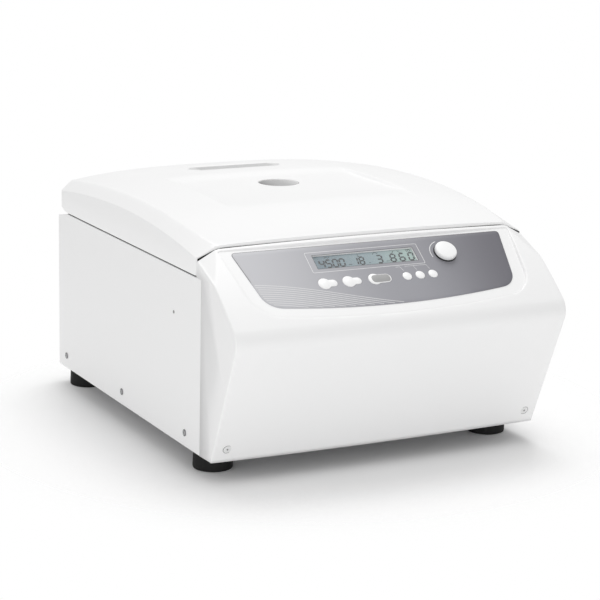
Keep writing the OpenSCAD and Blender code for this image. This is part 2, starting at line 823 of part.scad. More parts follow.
module lid_shell() {
    color("white") placed() difference() {
        height_block(lid_xs, lid_ys, function(x, y) lid_outer(x, y), function(x, y) lid_under(x, y));
        height_block(lid_inner_xs, lid_inner_ys, function(x, y) lid_outer(x, y) - lid_t,
            function(x, y) deck_h - 20);
        translate([0, chamber_y, liner_top]) cylinder(r = sight_r + fixed_gap, h = 100);
        air_grille_place() translate([0, 0, -air_grille_t]) linear_extrude(20) grille_plan(seat_gap);
        air_grille_place() translate([0, 0, -20]) linear_extrude(30) grille_plan(-3);
        for (side = SIDES) translate([side * bracket_x - bracket_t / 2 - 1.5, lid_rear - 10, lid_bottom - 10])
            cube([bracket_t + 3, 20, hinge_z + 10 - lid_bottom + 10]);
    }
}

module lid_liner() {
    half = half_w - lid_t - seat_gap;
    front_y = lid_front + lid_t + seat_gap;
    rear_y = hinge_y - hinge_eye_r - 8;
    color("whitesmoke") placed() difference() {
        union() {
            translate([-half, front_y, liner_z]) cube([2 * half, rear_y - front_y, liner_t]);
            translate([0, chamber_y, liner_z - 2]) cylinder(r = bowl_r - 7, h = 3, $fn = 128);
        }
        translate([0, chamber_y, liner_z - 5]) cylinder(r = sight_r - 3, h = 20);
    }
}

module sight_tube() {
    top = lid_outer(0, chamber_y) - lid_t - 0.5;
    color("gainsboro") placed() translate([0, chamber_y, liner_top]) difference() {
        cylinder(r = sight_r - 0.5, h = top - liner_top);
        translate([0, 0, -1]) cylinder(r = sight_r - 2.5, h = top);
    }
}

module sight_glass() {
    low = lid_outer(0, chamber_y) - lid_t - 0.5;
    color("lightgray") placed() translate([0, chamber_y, low]) cylinder(r = sight_r, h = sight_glass_t);
}

module lid_air_grille() {
    bars = 16;
    slot_len = air_grille_d - 8;
    color("darkgray") placed() air_grille_place() difference() {
        translate([0, 0, -air_grille_t]) linear_extrude(air_grille_t) grille_plan(0);
        for (i = [0:bars])
            translate([-air_grille_w / 2 + 15 + i * (air_grille_w - 32) / bars, -slot_len / 2, -5])
                cube([2, slot_len, 10]);
    }
}

module lid_hinge_arms() {
    reach = 52;
    color("silver") placed() for (side = SIDES) translate([side * arm_x, 0, 0]) difference() {
        union() {
            translate([0, hinge_y, hinge_z]) rotate([0, 90, 0])
                cylinder(r = hinge_eye_r, h = bracket_t, center = true);
            translate([-bracket_t / 2, hinge_y - reach, liner_top]) cube([bracket_t, reach, 8]);
            translate([-bracket_t / 2 - 4, hinge_y - reach, liner_top]) cube([bracket_t + 8, reach - 20, 2]);
        }
        translate([0, hinge_y, hinge_z]) rotate([0, 90, 0])
            cylinder(r = hinge_pin_r + run_gap, h = 2 * bracket_t, center = true);
    }
}

module hinge_brackets() {
    half = 6;
    color("silver") placed() for (side = SIDES) translate([side * bracket_x, 0, 0]) difference() {
        union() {
            across(bracket_t) polygon([
                [hinge_y - half, deck_top(hinge_y - half)],
                [hinge_y + half, deck_top(hinge_y + half)],
                [hinge_y + half, hinge_z],
                [hinge_y - half, hinge_z]]);
            translate([0, hinge_y, hinge_z]) rotate([0, 90, 0])
                cylinder(r = half, h = bracket_t, center = true);
        }
        translate([0, hinge_y, hinge_z]) rotate([0, 90, 0])
            cylinder(r = hinge_pin_r + fixed_gap, h = 2 * bracket_t, center = true);
    }
}

module hinge_pins() {
    length = 2 * bracket_t + 4;
    color("gray") placed() for (side = SIDES)
        translate([side * (bracket_x + arm_x) / 2, hinge_y, hinge_z]) rotate([0, 90, 0])
            cylinder(r = hinge_pin_r, h = length, center = true);
}

module lid_striker() {
    low = bolt_z - 10;
    color("silver") placed() difference() {
        union() {
            translate([-striker_half_w, striker_y - striker_t / 2, low])
                cube([2 * striker_half_w, striker_t, liner_z - low]);
            translate([-striker_half_w, striker_y - striker_t / 2, liner_z - 2])
                cube([2 * striker_half_w, 16, 2]);
        }
        translate([-bolt_w / 2 - 1, striker_y - 5, bolt_z - bolt_h / 2 - 1]) cube([bolt_w + 2, 10, bolt_h + 2]);
    }
}

module latch_housing() {
    color("dimgray") placed() difference() {
        union() {
            translate([-latch_half_w, latch_front, bolt_z - 12]) cube([2 * latch_half_w, latch_d, 24]);
            for (side = SIDES) translate([side * (latch_half_w - 4) - 4, latch_front, bolt_z])
                cube([8, latch_d, deck_h - plate_t - bolt_z]);
        }
        translate([-bolt_w / 2 - run_gap, latch_front - 1, bolt_z - bolt_h / 2 - run_gap])
            cube([bolt_w + 2 * run_gap, latch_d + 2, bolt_h + 2 * run_gap]);
    }
}

// The bolt rests drawn back, so that the lid is free.
module latch_bolt() {
    color("silver") placed() translate([-bolt_w / 2, latch_front - 0.5, bolt_z - bolt_h / 2])
        cube([bolt_w, latch_d + 6, bolt_h]);
}

module latch_motor() {
    color("black") placed() translate([-13, latch_front + latch_d, bolt_z - 20]) cube([26, latch_motor_d, 16]);
}

module lid_bumpers() {
    color("black") placed() for (side = SIDES) for (y = [lid_front + 22, case_d - rear_fall_len - 14])
        translate([side * (half_w - 22), y, deck_h]) cylinder(r = 5, h = liner_z - deck_h - seat_gap);
}

module chamber_bowl() {
    corner = 14;
    hole_r = 20;
    color("lightgray") placed() translate([0, chamber_y, 0]) rotate_extrude($fn = 128) {
        translate([bowl_r, bowl_floor + corner]) square([bowl_t, bowl_depth - corner + 1]);
        translate([hole_r, bowl_floor]) square([bowl_r - corner - hole_r + bowl_t, bowl_t]);
        intersection() {
            translate([bowl_out - corner, bowl_floor + corner]) difference() {
                circle(r = corner);
                circle(r = corner - bowl_t);
            }
            translate([bowl_out - corner, bowl_floor]) square([corner, corner]);
        }
        translate([bowl_r, deck_h]) square([11, 1]);
    }
}

module chamber_gasket() {
    color("dimgray") placed() translate([0, chamber_y, deck_h + 1]) rotate_extrude($fn = 128) {
        translate([bowl_r + 3, 0]) square([8, 2]);
        translate([bowl_r + 5, 2]) square([4, 2]);
        translate([bowl_r + 7, 4]) circle(r = 2);
    }
}

module bowl_boot() {
    color("black") placed() translate([0, chamber_y, motor_top]) difference() {
        union() {
            cylinder(r = 19.7, h = bowl_floor - motor_top + 3);
            cylinder(r = 25, h = bowl_floor - motor_top);
        }
        translate([0, 0, -1]) cylinder(r = shaft_r + 6, h = 30);
    }
}

module guard_ring() {
    color("slategray") placed() translate([0, chamber_y, pan_top]) difference() {
        cylinder(r = guard_out, h = deck_h - plate_t - pan_top, $fn = 128);
        translate([0, 0, -1]) cylinder(r = guard_in, h = deck_h, $fn = 128);
    }
}

module damper_places() {
    for (sx = SIDES) for (sy = SIDES) translate([sx * damper_x, chamber_y + sy * damper_x, 0]) children();
}

module motor_plate() {
    color("silver") placed() difference() {
        translate([-motor_plate_half, chamber_y - motor_plate_half, motor_plate_low])
            cube([2 * motor_plate_half, 2 * motor_plate_half, motor_plate_t]);
        translate([0, chamber_y, 0]) cylinder(r = motor_r - 5 + fixed_gap, h = 200);
        damper_places() cylinder(r = damper_stem_r, h = 200);
    }
}

module motor_dampers() {
    color("black") placed() damper_places() {
        translate([0, 0, pan_top]) cylinder(r = damper_r, h = motor_plate_low - pan_top);
        translate([0, 0, pan_top]) cylinder(r = damper_stem_r - fixed_gap,
            h = motor_plate_low + motor_plate_t - pan_top);
    }
}

module motor_housing() {
    color("dimgray") placed() translate([0, chamber_y, 0]) difference() {
        union() {
            translate([0, 0, motor_plate_low + motor_plate_t])
                cylinder(r = motor_r, h = motor_top - motor_plate_low - motor_plate_t);
            translate([0, 0, motor_low])
                cylinder(r = motor_r - 5, h = motor_plate_low + motor_plate_t - motor_low);
        }
        cylinder(r = shaft_r + 8, h = 200);
    }
}

module motor_bearings() {
    color("silver") placed() for (z = [motor_low + 3, motor_top - 3 - bearing_t]) translate([0, chamber_y, z])
        difference() {
            cylinder(r = shaft_r + 8 - fixed_gap, h = bearing_t);
            translate([0, 0, -1]) cylinder(r = shaft_r + run_gap, h = bearing_t + 2);
        }
}

module drive_shaft() {
    color("silver") placed() translate([0, chamber_y, 0]) {
        translate([0, 0, motor_low + 1]) cylinder(r = shaft_r, h = pivot_z - 10 - motor_low - 1);
        cylinder_from(pivot_z - 12, nut_low + 9, stud_r);
    }
}

module cylinder_from(low, high, r) {
    translate([0, 0, low]) cylinder(r = r, h = high - low);
}

module rotor_hub() {
    low = bowl_floor + 30;
    color("silver") placed() translate([0, chamber_y, 0]) difference() {
        union() {
            cylinder_from(low, nut_low, hub_r);
            translate([-web_half, -arm_in, pivot_z - arm_half_h])
                cube([2 * web_half, 2 * arm_in, 2 * arm_half_h]);
        }
        cylinder_from(low - 1, pivot_z - 10, shaft_r + fixed_gap);
        cylinder_from(low, nut_low + 1, stud_r + fixed_gap);
        rotor_screw_places() cylinder(r = rotor_screw_r - fixed_gap, h = 40, center = true);
    }
}

// Places of the screws that hold the arms, relative to the rotor axis.
module rotor_screw_places() {
    for (sy = SIDES) for (sx = SIDES) translate([sx * 8, sy * (arm_in + arm_t), pivot_z])
        rotate([sy * -90, 0, 0])
        children();
}

module rotor_arms() {
    color("silver") placed() translate([0, chamber_y, 0]) difference() {
        for (sy = SIDES) {
            translate([-pivot_x, sy > 0 ? arm_in : -arm_in - arm_t, pivot_z - arm_half_h])
                cube([2 * pivot_x, arm_t, 2 * arm_half_h]);
            for (sx = SIDES) translate([sx * pivot_x, sy * (arm_in + arm_t / 2), pivot_z]) rotate([90, 0, 0])
                cylinder(r = arm_half_h, h = arm_t, center = true);
            for (sx = SIDES) translate([sx * pivot_x, sy * (arm_in + bucket_l / 2 + 0.5) / 2, pivot_z])
                rotate([90, 0, 0]) cylinder(r = trunnion_r, h = arm_in - bucket_l / 2 - 0.5, center = true);
        }
        rotor_screw_places() cylinder(r = rotor_screw_r + 0.2, h = 3 * arm_t, center = true);
    }
}

module rotor_screws() {
    color("dimgray") placed() translate([0, chamber_y, 0]) rotor_screw_places() {
        cylinder(r = 4.2, h = 4);
        translate([0, 0, -arm_t - 12]) cylinder(r = rotor_screw_r - 2 * fixed_gap, h = arm_t + 12);
    }
}

module rotor_nut() {
    color("gray") placed() translate([0, chamber_y, 0]) difference() {
        union() {
            cylinder_from(nut_low, nut_low + 12, 14);
            cylinder_from(nut_low, nut_low + 3, 17);
        }
        cylinder_from(nut_low - 1, nut_low + 10, stud_r + fixed_gap);
    }
}

// A bucket hangs from the trunnions by an ear at each end.
module bucket(side) {
    half_l = bucket_l / 2 + bucket_t;
    half_b = bucket_w / 2 + bucket_t;
    ear_half = 12;
    placed() translate([side * pivot_x, chamber_y, 0]) difference() {
        union() {
            translate([-half_b, -half_l, bucket_floor]) cube([2 * half_b, 2 * half_l, bucket_h]);
            for (sy = SIDES) {
                translate([-ear_half, sy > 0 ? bucket_l / 2 : -ear_out, bucket_floor])
                    cube([2 * ear_half, ear_out - bucket_l / 2, pivot_z - bucket_floor]);
                translate([0, sy * (ear_out + bucket_l / 2) / 2, pivot_z]) rotate([90, 0, 0])
                    cylinder(r = ear_half, h = ear_out - bucket_l / 2, center = true);
            }
        }
        translate([-bucket_w / 2, -bucket_l / 2, bucket_floor + bucket_t]) cube([bucket_w, bucket_l, 100]);
        translate([0, 0, pivot_z]) rotate([90, 0, 0])
            cylinder(r = trunnion_r + run_gap, h = 2 * ear_out + 2, center = true);
    }
}

module left_bucket() {
    color("lightgray") bucket(-1);
}

module right_bucket() {
    color("lightgray") bucket(1);
}

module power_board() {
    color("darkgreen") placed() {
        translate([board_left, board_front, power_board_z]) cube([board_w, board_deep, board_t]);
        for (x = [6, board_w - 6]) for (y = [6, board_deep - 6])
            translate([board_left + x, board_front + y, pan_top]) cylinder(r = 3, h = power_board_z - pan_top);
    }
}

module power_parts() {
    top = power_board_z + board_t;
    color("black") placed() {
        for (i = [0:2]) translate([board_left + 40 + i * capacitor_pitch, board_front + 17, top])
            cylinder(r = capacitor_r, h = capacitor_h);
        translate([board_left + 16, board_front + 34, top]) cube(heat_sink_size);
        translate([board_left + 8, board_front + 12, top]) cube(fuse_size);
    }
}

module mains_inlet() {
    color("black") placed() translate([inlet_x, case_d, inlet_z]) difference() {
        union() {
            translate([-24, 0, -14]) cube([48, 2.2, 42]);
            translate([-inlet_half_w, -24, -inlet_half_h]) cube([2 * inlet_half_w, 25, 2 * inlet_half_h]);
            translate([-inlet_half_w, -20, 14]) cube([2 * inlet_half_w, 21, 10]);
            translate([-inlet_half_w + 1, 0, 15]) cube([2 * inlet_half_w - 2, inlet_proud, 8]);
        }
        translate([-12.3, -17, -8.2]) cube([24.6, 30, 16.4]);
    }
}

module inlet_pins() {
    color("silver") placed() for (pin = [[-7, -2], [0, 2], [7, -2]])
        translate([inlet_x + pin[0] - 1, case_d - 17, inlet_z + pin[1] - 2]) cube([2, 14, 4]);
}

module switch_bezel() {
    color("black") placed() difference() {
        union() {
            translate([switch_x - 9, case_d, inlet_z - 12.5]) cube([18, 1.6, 25]);
            translate([switch_x - 6.8, case_d - 18, inlet_z - 10]) cube([13.6, 19, 20]);
        }
        translate([switch_x - rocker_half - 0.3, case_d - 12, inlet_z - 9.3])
            cube([2 * rocker_half + 0.6, 20, 18.6]);
    }
    color("black") placed() translate([switch_x, rocker_y, inlet_z]) rotate([0, 90, 0])
        cylinder(r = rocker_pin_r, h = 2 * rocker_half + 1, center = true);
}

// The rocker has two faces that meet at a shallow angle, and rests with its lower end pressed in.
module power_switch() {
    half_h = rocker_h / 2;
    color("dimgray") placed() translate([switch_x, rocker_y, inlet_z]) rotate([rocker_tilt, 0, 0]) difference() {
        across(2 * rocker_half) polygon([
            [-4, -4],
            [3.2, -half_h],
            [5.6, -half_h],
            [4.6, 0],
            [5.6, half_h],
            [3.2, half_h],
            [-4, 4]]);
        rotate([0, 90, 0]) cylinder(r = rocker_pin_r + run_gap, h = 4 * rocker_half, center = true);
    }
}

module fan_place() {
    translate([fan_x, rear_in, fan_z]) rotate([90, 0, 0]) children();
}

module fan_screw_places() {
    for (sx = SIDES) for (sy = SIDES) translate([sx * fan_screw_x, sy * fan_screw_x, 0]) children();
}

module fan_frame() {
    color("black") placed() fan_place() difference() {
        translate([-fan_size / 2, -fan_size / 2, 0]) cube([fan_size, fan_size, fan_d]);
        translate([0, 0, -1]) cylinder(r = fan_r, h = fan_d - 3);
        difference() {
            cylinder(r = fan_r, h = fan_d + 1);
            for (a = [0:90:270]) rotate([0, 0, a + 45]) translate([0, -2.5, fan_d - 4]) cube([60, 5, 10]);
            cylinder(r = 15, h = fan_d + 2);
        }
        translate([0, 0, -1]) fan_screw_places() cylinder(r = fan_screw_r, h = fan_d + 2);
    }
}

module fan_wheel() {
    blades = 7;
    root_r = 12;
    color("dimgray") placed() fan_place() {
        translate([0, 0, 3.6]) cylinder(r = 14, h = fan_d - 8);
        for (i = [0:blades - 1]) rotate([0, 0, i * 360 / blades]) translate([root_r, 0, 10.5])
            rotate([38, 0, 0]) translate([0, -8, -0.7]) cube([fan_r - 1 - root_r, 16, 1.4]);
    }
}

module fan_guard() {
    wire = 1.2;
    ring_r = 4;
    ring_step = 8.4;
    spoke_in = ring_r - 1;
    color("silver") placed() translate([fan_x, case_d, fan_z]) rotate([-90, 0, 0]) {
        for (i = [0:4]) difference() {
            cylinder(r = ring_r + i * ring_step, h = 2);
            translate([0, 0, -1]) cylinder(r = ring_r + i * ring_step - 1.6, h = 4);
        }
        for (a = [45:90:315]) rotate([0, 0, a]) translate([spoke_in, -wire, 0])
            cube([fan_size / 2 + 10 - spoke_in, 2 * wire, 1]);
        fan_screw_places() {
            cylinder(r = 5, h = 1.2);
            translate([0, 0, 1]) cylinder(r = 3.4, h = 1.6);
        }
    }
}

module rubber_feet() {
    color("black") placed() foot_places() translate([0, 0, -foot_h]) difference() {
        union() {
            cylinder(r = foot_r, h = 6);
            translate([0, 0, 6]) cylinder(r1 = foot_r, r2 = foot_r - 1, h = foot_h - 6, $fn = 64);
        }
        translate([0, 0, -1]) cylinder(r = foot_bore_r, h = foot_bore_h + 1);
        translate([0, 0, -1]) cylinder(r = foot_screw_r + 0.2, h = foot_h + 2);
    }
}

// All the screws that show or hold the case: feet, sides and front.
module case_screws() {
    color("silver") placed() {
        foot_places() translate([0, 0, -foot_h + foot_bore_h]) {
            cylinder(r = foot_screw_r, h = foot_h - foot_bore_h + pan_top + 4);
            translate([0, 0, -3]) cylinder(r = 5.5, h = 3);
            translate([0, 0, foot_h - foot_bore_h + pan_top]) cylinder(r = 5, h = 4, $fn = 6);
        }
        for (side = SIDES) for (y = side_screw_ys)
            translate([side * half_w, y, side_screw_z]) rotate([0, side * 90, 0]) {
                cylinder(r = 2 * side_screw_r, h = 0.8);
                cylinder(r = 1.7 * side_screw_r, h = 1.8);
                translate([0, 0, -6]) cylinder(r = side_screw_r - 2 * fixed_gap, h = 6.5);
            }
        front_screw_places() cylinder(r = front_screw_r, h = 1.6);
    }
}

module release_plug() {
    color("gray") placed() release_place() cylinder(r = release_r - fixed_gap, h = sheet_t + 0.6, center = true);
}

base_pan();
left_side_panel();
right_side_panel();
rear_panel();
top_deck();
front_panel();
control_overlay();
display_window();
display_module();
control_board();
key_switches();
knob_encoder();
knob_bezel();
setting_knob();
pulse_key();
open_key();
start_key();
left_small_key();
middle_small_key();
right_small_key();
lid_shell();
lid_liner();
sight_tube();
sight_glass();
lid_air_grille();
lid_hinge_arms();
hinge_brackets();
hinge_pins();
lid_striker();
latch_housing();
latch_bolt();
latch_motor();
lid_bumpers();
chamber_bowl();
chamber_gasket();
bowl_boot();
guard_ring();
motor_plate();
motor_dampers();
motor_housing();
motor_bearings();
drive_shaft();
rotor_hub();
rotor_arms();
rotor_screws();
rotor_nut();
left_bucket();
right_bucket();
power_board();
power_parts();
mains_inlet();
inlet_pins();
switch_bezel();
power_switch();
fan_frame();
fan_wheel();
fan_guard();
rubber_feet();
case_screws();
release_plug();
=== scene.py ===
import math

import bmesh
import bpy
import numpy as np
from mathutils import Matrix, Vector, geometry


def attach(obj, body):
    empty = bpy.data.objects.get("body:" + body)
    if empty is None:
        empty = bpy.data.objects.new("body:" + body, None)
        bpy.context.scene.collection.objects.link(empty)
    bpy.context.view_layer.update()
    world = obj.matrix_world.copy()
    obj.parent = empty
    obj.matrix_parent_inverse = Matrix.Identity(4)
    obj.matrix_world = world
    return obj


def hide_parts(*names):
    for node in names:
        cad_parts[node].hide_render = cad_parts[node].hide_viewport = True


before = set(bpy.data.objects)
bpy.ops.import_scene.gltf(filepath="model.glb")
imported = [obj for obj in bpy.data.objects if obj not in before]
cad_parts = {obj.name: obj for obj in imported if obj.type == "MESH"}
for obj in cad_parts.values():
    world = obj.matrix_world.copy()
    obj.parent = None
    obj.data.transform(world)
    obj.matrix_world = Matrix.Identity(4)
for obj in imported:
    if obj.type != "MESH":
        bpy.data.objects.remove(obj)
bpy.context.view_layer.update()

# Lengths are millimetres in the machine's own frame: x across, y from the foot of the front panel
# to the rear, z up from the underside of the case. at() turns such a point into the row frame.
MM = 0.001
WELD = 0.005
ROW_Y = -205.25
FOOT_H = 24.0

# Case
HALF_W = 215.0
CASE_D = 474.0
DECK_H = 205.0
SIDE_SEAM_Y = 30.0
LID_SEAM_Y = 43.0
PANEL_T = 3.5
SHEET_T = 1.2
REAR_FALL = 6.0
REAR_FALL_LEN = 30.0

# Side profile of the front panel
FRONT_BOW = 5.0
BOW_R = HALF_W ** 2 / (2 * FRONT_BOW)
BOW_AXIS_Y = BOW_R - FRONT_BOW
BULGE_R = 22.0
BULGE_Y = -61.5 + BULGE_R
BULGE_Z = 149.0
FACE_ANGLE = math.radians(36)
BROW_START = math.radians(36 + 5.25)
FOOT_ANGLE = math.atan2(BULGE_Z, BULGE_Y) + math.asin(BULGE_R / math.hypot(BULGE_Y, BULGE_Z))
FACE_COS = math.cos(FACE_ANGLE)
FACE_SIN = math.sin(FACE_ANGLE)
FACE_Z = BULGE_Z + BULGE_R * FACE_COS + (LID_SEAM_Y - BULGE_Y + BULGE_R * FACE_SIN) * math.tan(FACE_ANGLE)
BROW_Y = BULGE_Y - BULGE_R * math.sin(BROW_START)
BROW_Z = BULGE_Z + BULGE_R * math.cos(BROW_START)
BROW_CHORD = math.hypot(LID_SEAM_Y - BROW_Y, FACE_Z - BROW_Z)
BROW_CHORD_ANGLE = math.atan2(FACE_Z - BROW_Z, LID_SEAM_Y - BROW_Y)
BROW_R = BROW_CHORD / (2 * math.sin(BROW_START - BROW_CHORD_ANGLE))
BROW_CENTRE_Y = BROW_Y + BROW_R * math.sin(BROW_START)
BROW_CENTRE_Z = BROW_Z - BROW_R * math.cos(BROW_START)
SIDE_FILLET = 2.0
SEAM_FILLET = 1.0

# Bevel at the top corners of the front panel, which goes on along the lid's sides and narrows there
BEVEL_W = 24.3
LID_BEVEL_W = 14.5
BEVEL_RUN = 45.0
BEVEL_DROP = 13.0
BEVEL_X = HALF_W - BEVEL_W
BEVEL_SLOPE_Y = math.radians(22.2)

# Control face: distances s run down the slope from the lid seam
FACE_HALF_TOP = 192.0
FACE_TOP_S = 5.0
FACE_END_S = 119.0
FACE_TAPER = 0.15
FACE_CORNER_R = 40.0
OVERLAY_HALF_TOP = 177.5
OVERLAY_TOP_S = 9.0
OVERLAY_END_S = 104.5
OVERLAY_TAPER = 0.19
OVERLAY_CORNER_R = 25.0
OVERLAY_TOP_R = 5.0
OVERLAY_T = 0.6
EDGE_CROWN_R = 1100.0
STEP_W = 1.4
KEY_S = 66.0
KEY_GAP = 0.3
WIDE_KEYS = {"pulse_key": -80.6, "open_key": -49.4, "start_key": -16.1}
SMALL_KEYS = {"left_small_key": 26.7, "middle_small_key": 43.9, "right_small_key": 61.1}
SMALL_KEY_R = 5.8
WIDE_KEY_R = 8.0
KNOB_X = 90.8
KNOB_S = 36.0
KNOB_R = 13.5
KNOB_LOW = 1.7
KNOB_H = 6.0
KNOB_RING_T = 0.8
WINDOW_X = -14.0
WINDOW_S = 33.2
WINDOW_HALF_W = 65.5
WINDOW_HALF_H = 10.0

# Lid
LID_FRONT = 44.0
LID_REAR = 467.0
LID_BOTTOM = 206.5
LID_RISE = 22.4
LID_PROUD = 3.4
LID_REAR_RISE = 8.5
LID_CROWN = 8.8
CROWN_FRONT = 3.0
CROWN_POWER = 3.0
CROWN_RUN = 120.0
CROWN_REAR = 2.7
CROWN_REAR_RUN = 117.0
CHAMBER_Y = 268.0
LID_PEAK_Y = CHAMBER_Y - 13
RECESS_HALF_W = 127.0
RECESS_REAR = CHAMBER_Y + 44
RECESS_WALL = 34.0
RECESS_DEPTH = 4.0
RECESS_SIDE_FALL = 1.4
RECESS_BLEND = 0.5
REAR_ROUND = 3.0
SIGHT_R = 25.5
GRILLE_Y = CHAMBER_Y + 130
GRILLE_HALF_W = 66.0
GRILLE_HALF_D = 17.0
LID_T = 3.5
BRACKET_X = 137.0
NOTCH_HALF_W = 4.5
NOTCH_TOP = 226.0

# Feet, screws and the release hole
FOOT_X = 185.5
FOOT_YS = (57.3, 446.6)
FOOT_RECESS_R = 6.2
SIDE_SCREW_YS = (71.0, 259.5, 447.0)
SIDE_SCREW_Z = 16.3
FRONT_SCREW_X = 198.0
FRONT_SCREW_Z = 16.6
RELEASE_R = 1.8
RELEASE_Y = 104.7
RELEASE_Z = 152.0

SCENE = bpy.context.scene
SIDES = (-1, 1)


def at(x, y, z):
    """A point of the machine's own frame, in the row frame and in metres."""
    return Vector((x, y + ROW_Y, z + FOOT_H)) * MM


def smooth(t):
    t = min(max(t, 0.0), 1.0)
    return t * t * (3 - 2 * t)


def spread(low, high, steps):
    return [low + (high - low) * i / steps for i in range(steps + 1)]


# Placements turn local points into the machine's frame.
def upright(x, y, z):
    return Matrix.Translation((x, y, z))


def face_point(x, s, lift):
    """A point given by its place on the control face and its height above it."""
    return Vector((x, LID_SEAM_Y - s * FACE_COS - lift * FACE_SIN, FACE_Z - s * FACE_SIN + lift * FACE_COS))


def on_face(x, s):
    """Local x across, local y up the slope, local z out of the control face."""
    return Matrix.Translation(face_point(x, s, 0)) @ Matrix.Rotation(FACE_ANGLE, 4, "X")


def facing(x, y, z, direction):
    """Local z along the given direction."""
    turn = Vector(direction).to_track_quat("Z", "Y").to_matrix().to_4x4()
    return Matrix.Translation((x, y, z)) @ turn


# Outlines are lists of (x, y) that run anticlockwise.
def circle(r, count=48, x=0.0, y=0.0):
    return [(x + r * math.cos(2 * math.pi * i / count), y + r * math.sin(2 * math.pi * i / count))
            for i in range(count)]


def rectangle(half_x, half_y, x=0.0, y=0.0):
    return [(x + u * half_x, y + v * half_y) for u, v in ((-1, -1), (1, -1), (1, 1), (-1, 1))]


def rounded(points, radius, steps=5, closed=True):
    """The outline with each corner turned into an arc."""
    out = []
    count = len(points)
    for i, point in enumerate(points):
        if not closed and i in (0, count - 1):
            out.append(tuple(point))
            continue
        here = Vector(point)
        before = Vector(points[i - 1]) - here
        after = Vector(points[(i + 1) % count]) - here
        half = before.angle(after) / 2
        if half > math.pi / 2 - 0.02:
            out.append(tuple(point))
            continue
        reach = min(radius / math.tan(half), before.length * 0.48, after.length * 0.48)
        start = here + before.normalized() * reach
        end = here + after.normalized() * reach
        for k in range(steps + 1):
            t = k / steps
            out.append(tuple(start * (1 - t) ** 2 + here * 2 * t * (1 - t) + end * t ** 2))
    return out


def inset(loop, distance):
    """The outline moved inwards by a small distance, vertex by vertex."""
    out = []
    count = len(loop)
    for i in range(count):
        here = Vector(loop[i])
        into = (here - Vector(loop[i - 1])).normalized()
        away = (Vector(loop[(i + 1) % count]) - here).normalized()
        bisector = Vector((-into.y - away.y, into.x + away.x))
        scale = max(bisector.length / 2, 0.35)
        out.append(tuple(here + bisector.normalized() * distance / scale))
    return out


def face_outline(half_top, top_s, end_s, taper, corner_r, top_r):
    """Outline on the control face as (x, s): leaning sides, round lower corners, crowned lower edge."""
    inner_r = EDGE_CROWN_R - corner_r
    crown_s = end_s - EDGE_CROWN_R
    lean = math.hypot(1, taper)
    first_x = half_top - taper * (end_s - corner_r - 8 - top_s) - corner_r * lean
    corner_s = crown_s + math.sqrt(inner_r ** 2 - first_x ** 2)
    corner_x = half_top - taper * (corner_s - top_s) - corner_r * lean
    side_angle = math.atan(taper)
    low_angle = math.pi / 2 - math.atan2(corner_x, corner_s - crown_s)
    corner = [(corner_x + corner_r * math.cos(a), corner_s + corner_r * math.sin(a))
              for a in spread(side_angle, low_angle, 16)]
    low = [(x, crown_s + math.sqrt(EDGE_CROWN_R ** 2 - x * x)) for x in spread(corner[-1][0], 0, 14)[1:]]
    top = rounded([(0, top_s), (half_top, top_s), corner[0]], top_r, closed=False)[1:-1]
    side = [tuple(Vector(top[-1]).lerp(Vector(corner[0]), t)) for t in spread(0, 1, 12)[1:-1]]
    edge = [(x, top_s) for x in spread(0, half_top - top_r - 2, 16)]
    right = edge + top + side + corner + low
    left = [(-x, s) for x, s in reversed(right[1:-1])]
    return right + left


def signed_distance(points, loop):
    """Distance of each point to the outline, negative inside."""
    p = np.asarray(points, float)
    a = np.asarray(loop, float)
    b = np.roll(a, -1, axis=0)
    edge = b - a
    length2 = (edge ** 2).sum(1)
    best = np.full(len(p), 1e9)
    inside = np.zeros(len(p), bool)
    for (ax, ay), (bx, by), (ex, ey), l2 in zip(a, b, edge, length2):
        t = np.clip(((p[:, 0] - ax) * ex + (p[:, 1] - ay) * ey) / max(l2, 1e-12), 0, 1)
        gap = np.hypot(p[:, 0] - ax - t * ex, p[:, 1] - ay - t * ey)
        best = np.minimum(best, gap)
        crosses = (ay > p[:, 1]) != (by > p[:, 1])
        if ey:
            inside ^= crosses & (p[:, 0] < ax + (p[:, 1] - ay) * ex / ey)
    return np.where(inside, -best, best)


def triangulate(boundary, rings, holes, grid):
    """Fills the boundary with triangles that follow the rings and leave the holes open.
    The result's first points are the boundary's, in order."""
    points = []
    edges = []
    for loop in [boundary, *rings, *holes]:
        first = len(points)
        points.extend(loop)
        count = len(loop)
        edges.extend((first + i, first + (i + 1) % count) for i in range(count))
    if grid:
        keep = signed_distance(grid, boundary) < -1.2
        for loop in [*rings, *holes]:
            keep &= np.abs(signed_distance(grid, loop)) > 1.2
        points.extend(p for p, wanted in zip(grid, keep) if wanted)
    made = geometry.delaunay_2d_cdt([Vector(p) for p in points], edges, [], 0, 1e-5)
    places = [tuple(v) for v in made[0]]
    faces = made[2]
    middles = [tuple(sum((Vector(places[i]) for i in face), Vector((0, 0))) / 3) for face in faces]
    keep = signed_distance(middles, boundary) < 0
    for loop in holes:
        keep &= signed_distance(middles, loop) > 0
    return places, [face for face, wanted in zip(faces, keep) if wanted]


def clean_mesh(points, faces, weld):
    """A mesh under edit, with near points welded and its faces turned outwards."""
    mesh = bmesh.new()
    places = [mesh.verts.new(p) for p in points]
    for face in faces:
        corners = [places[i] for i in dict.fromkeys(face)]
        if len(corners) > 2 and not mesh.faces.get(corners):
            mesh.faces.new(corners)
    bmesh.ops.remove_doubles(mesh, verts=mesh.verts, dist=weld)
    loose = [v for v in mesh.verts if not v.link_faces]
    bmesh.ops.delete(mesh, geom=loose, context="VERTS")
    bmesh.ops.recalc_face_normals(mesh, faces=mesh.faces)
    return mesh


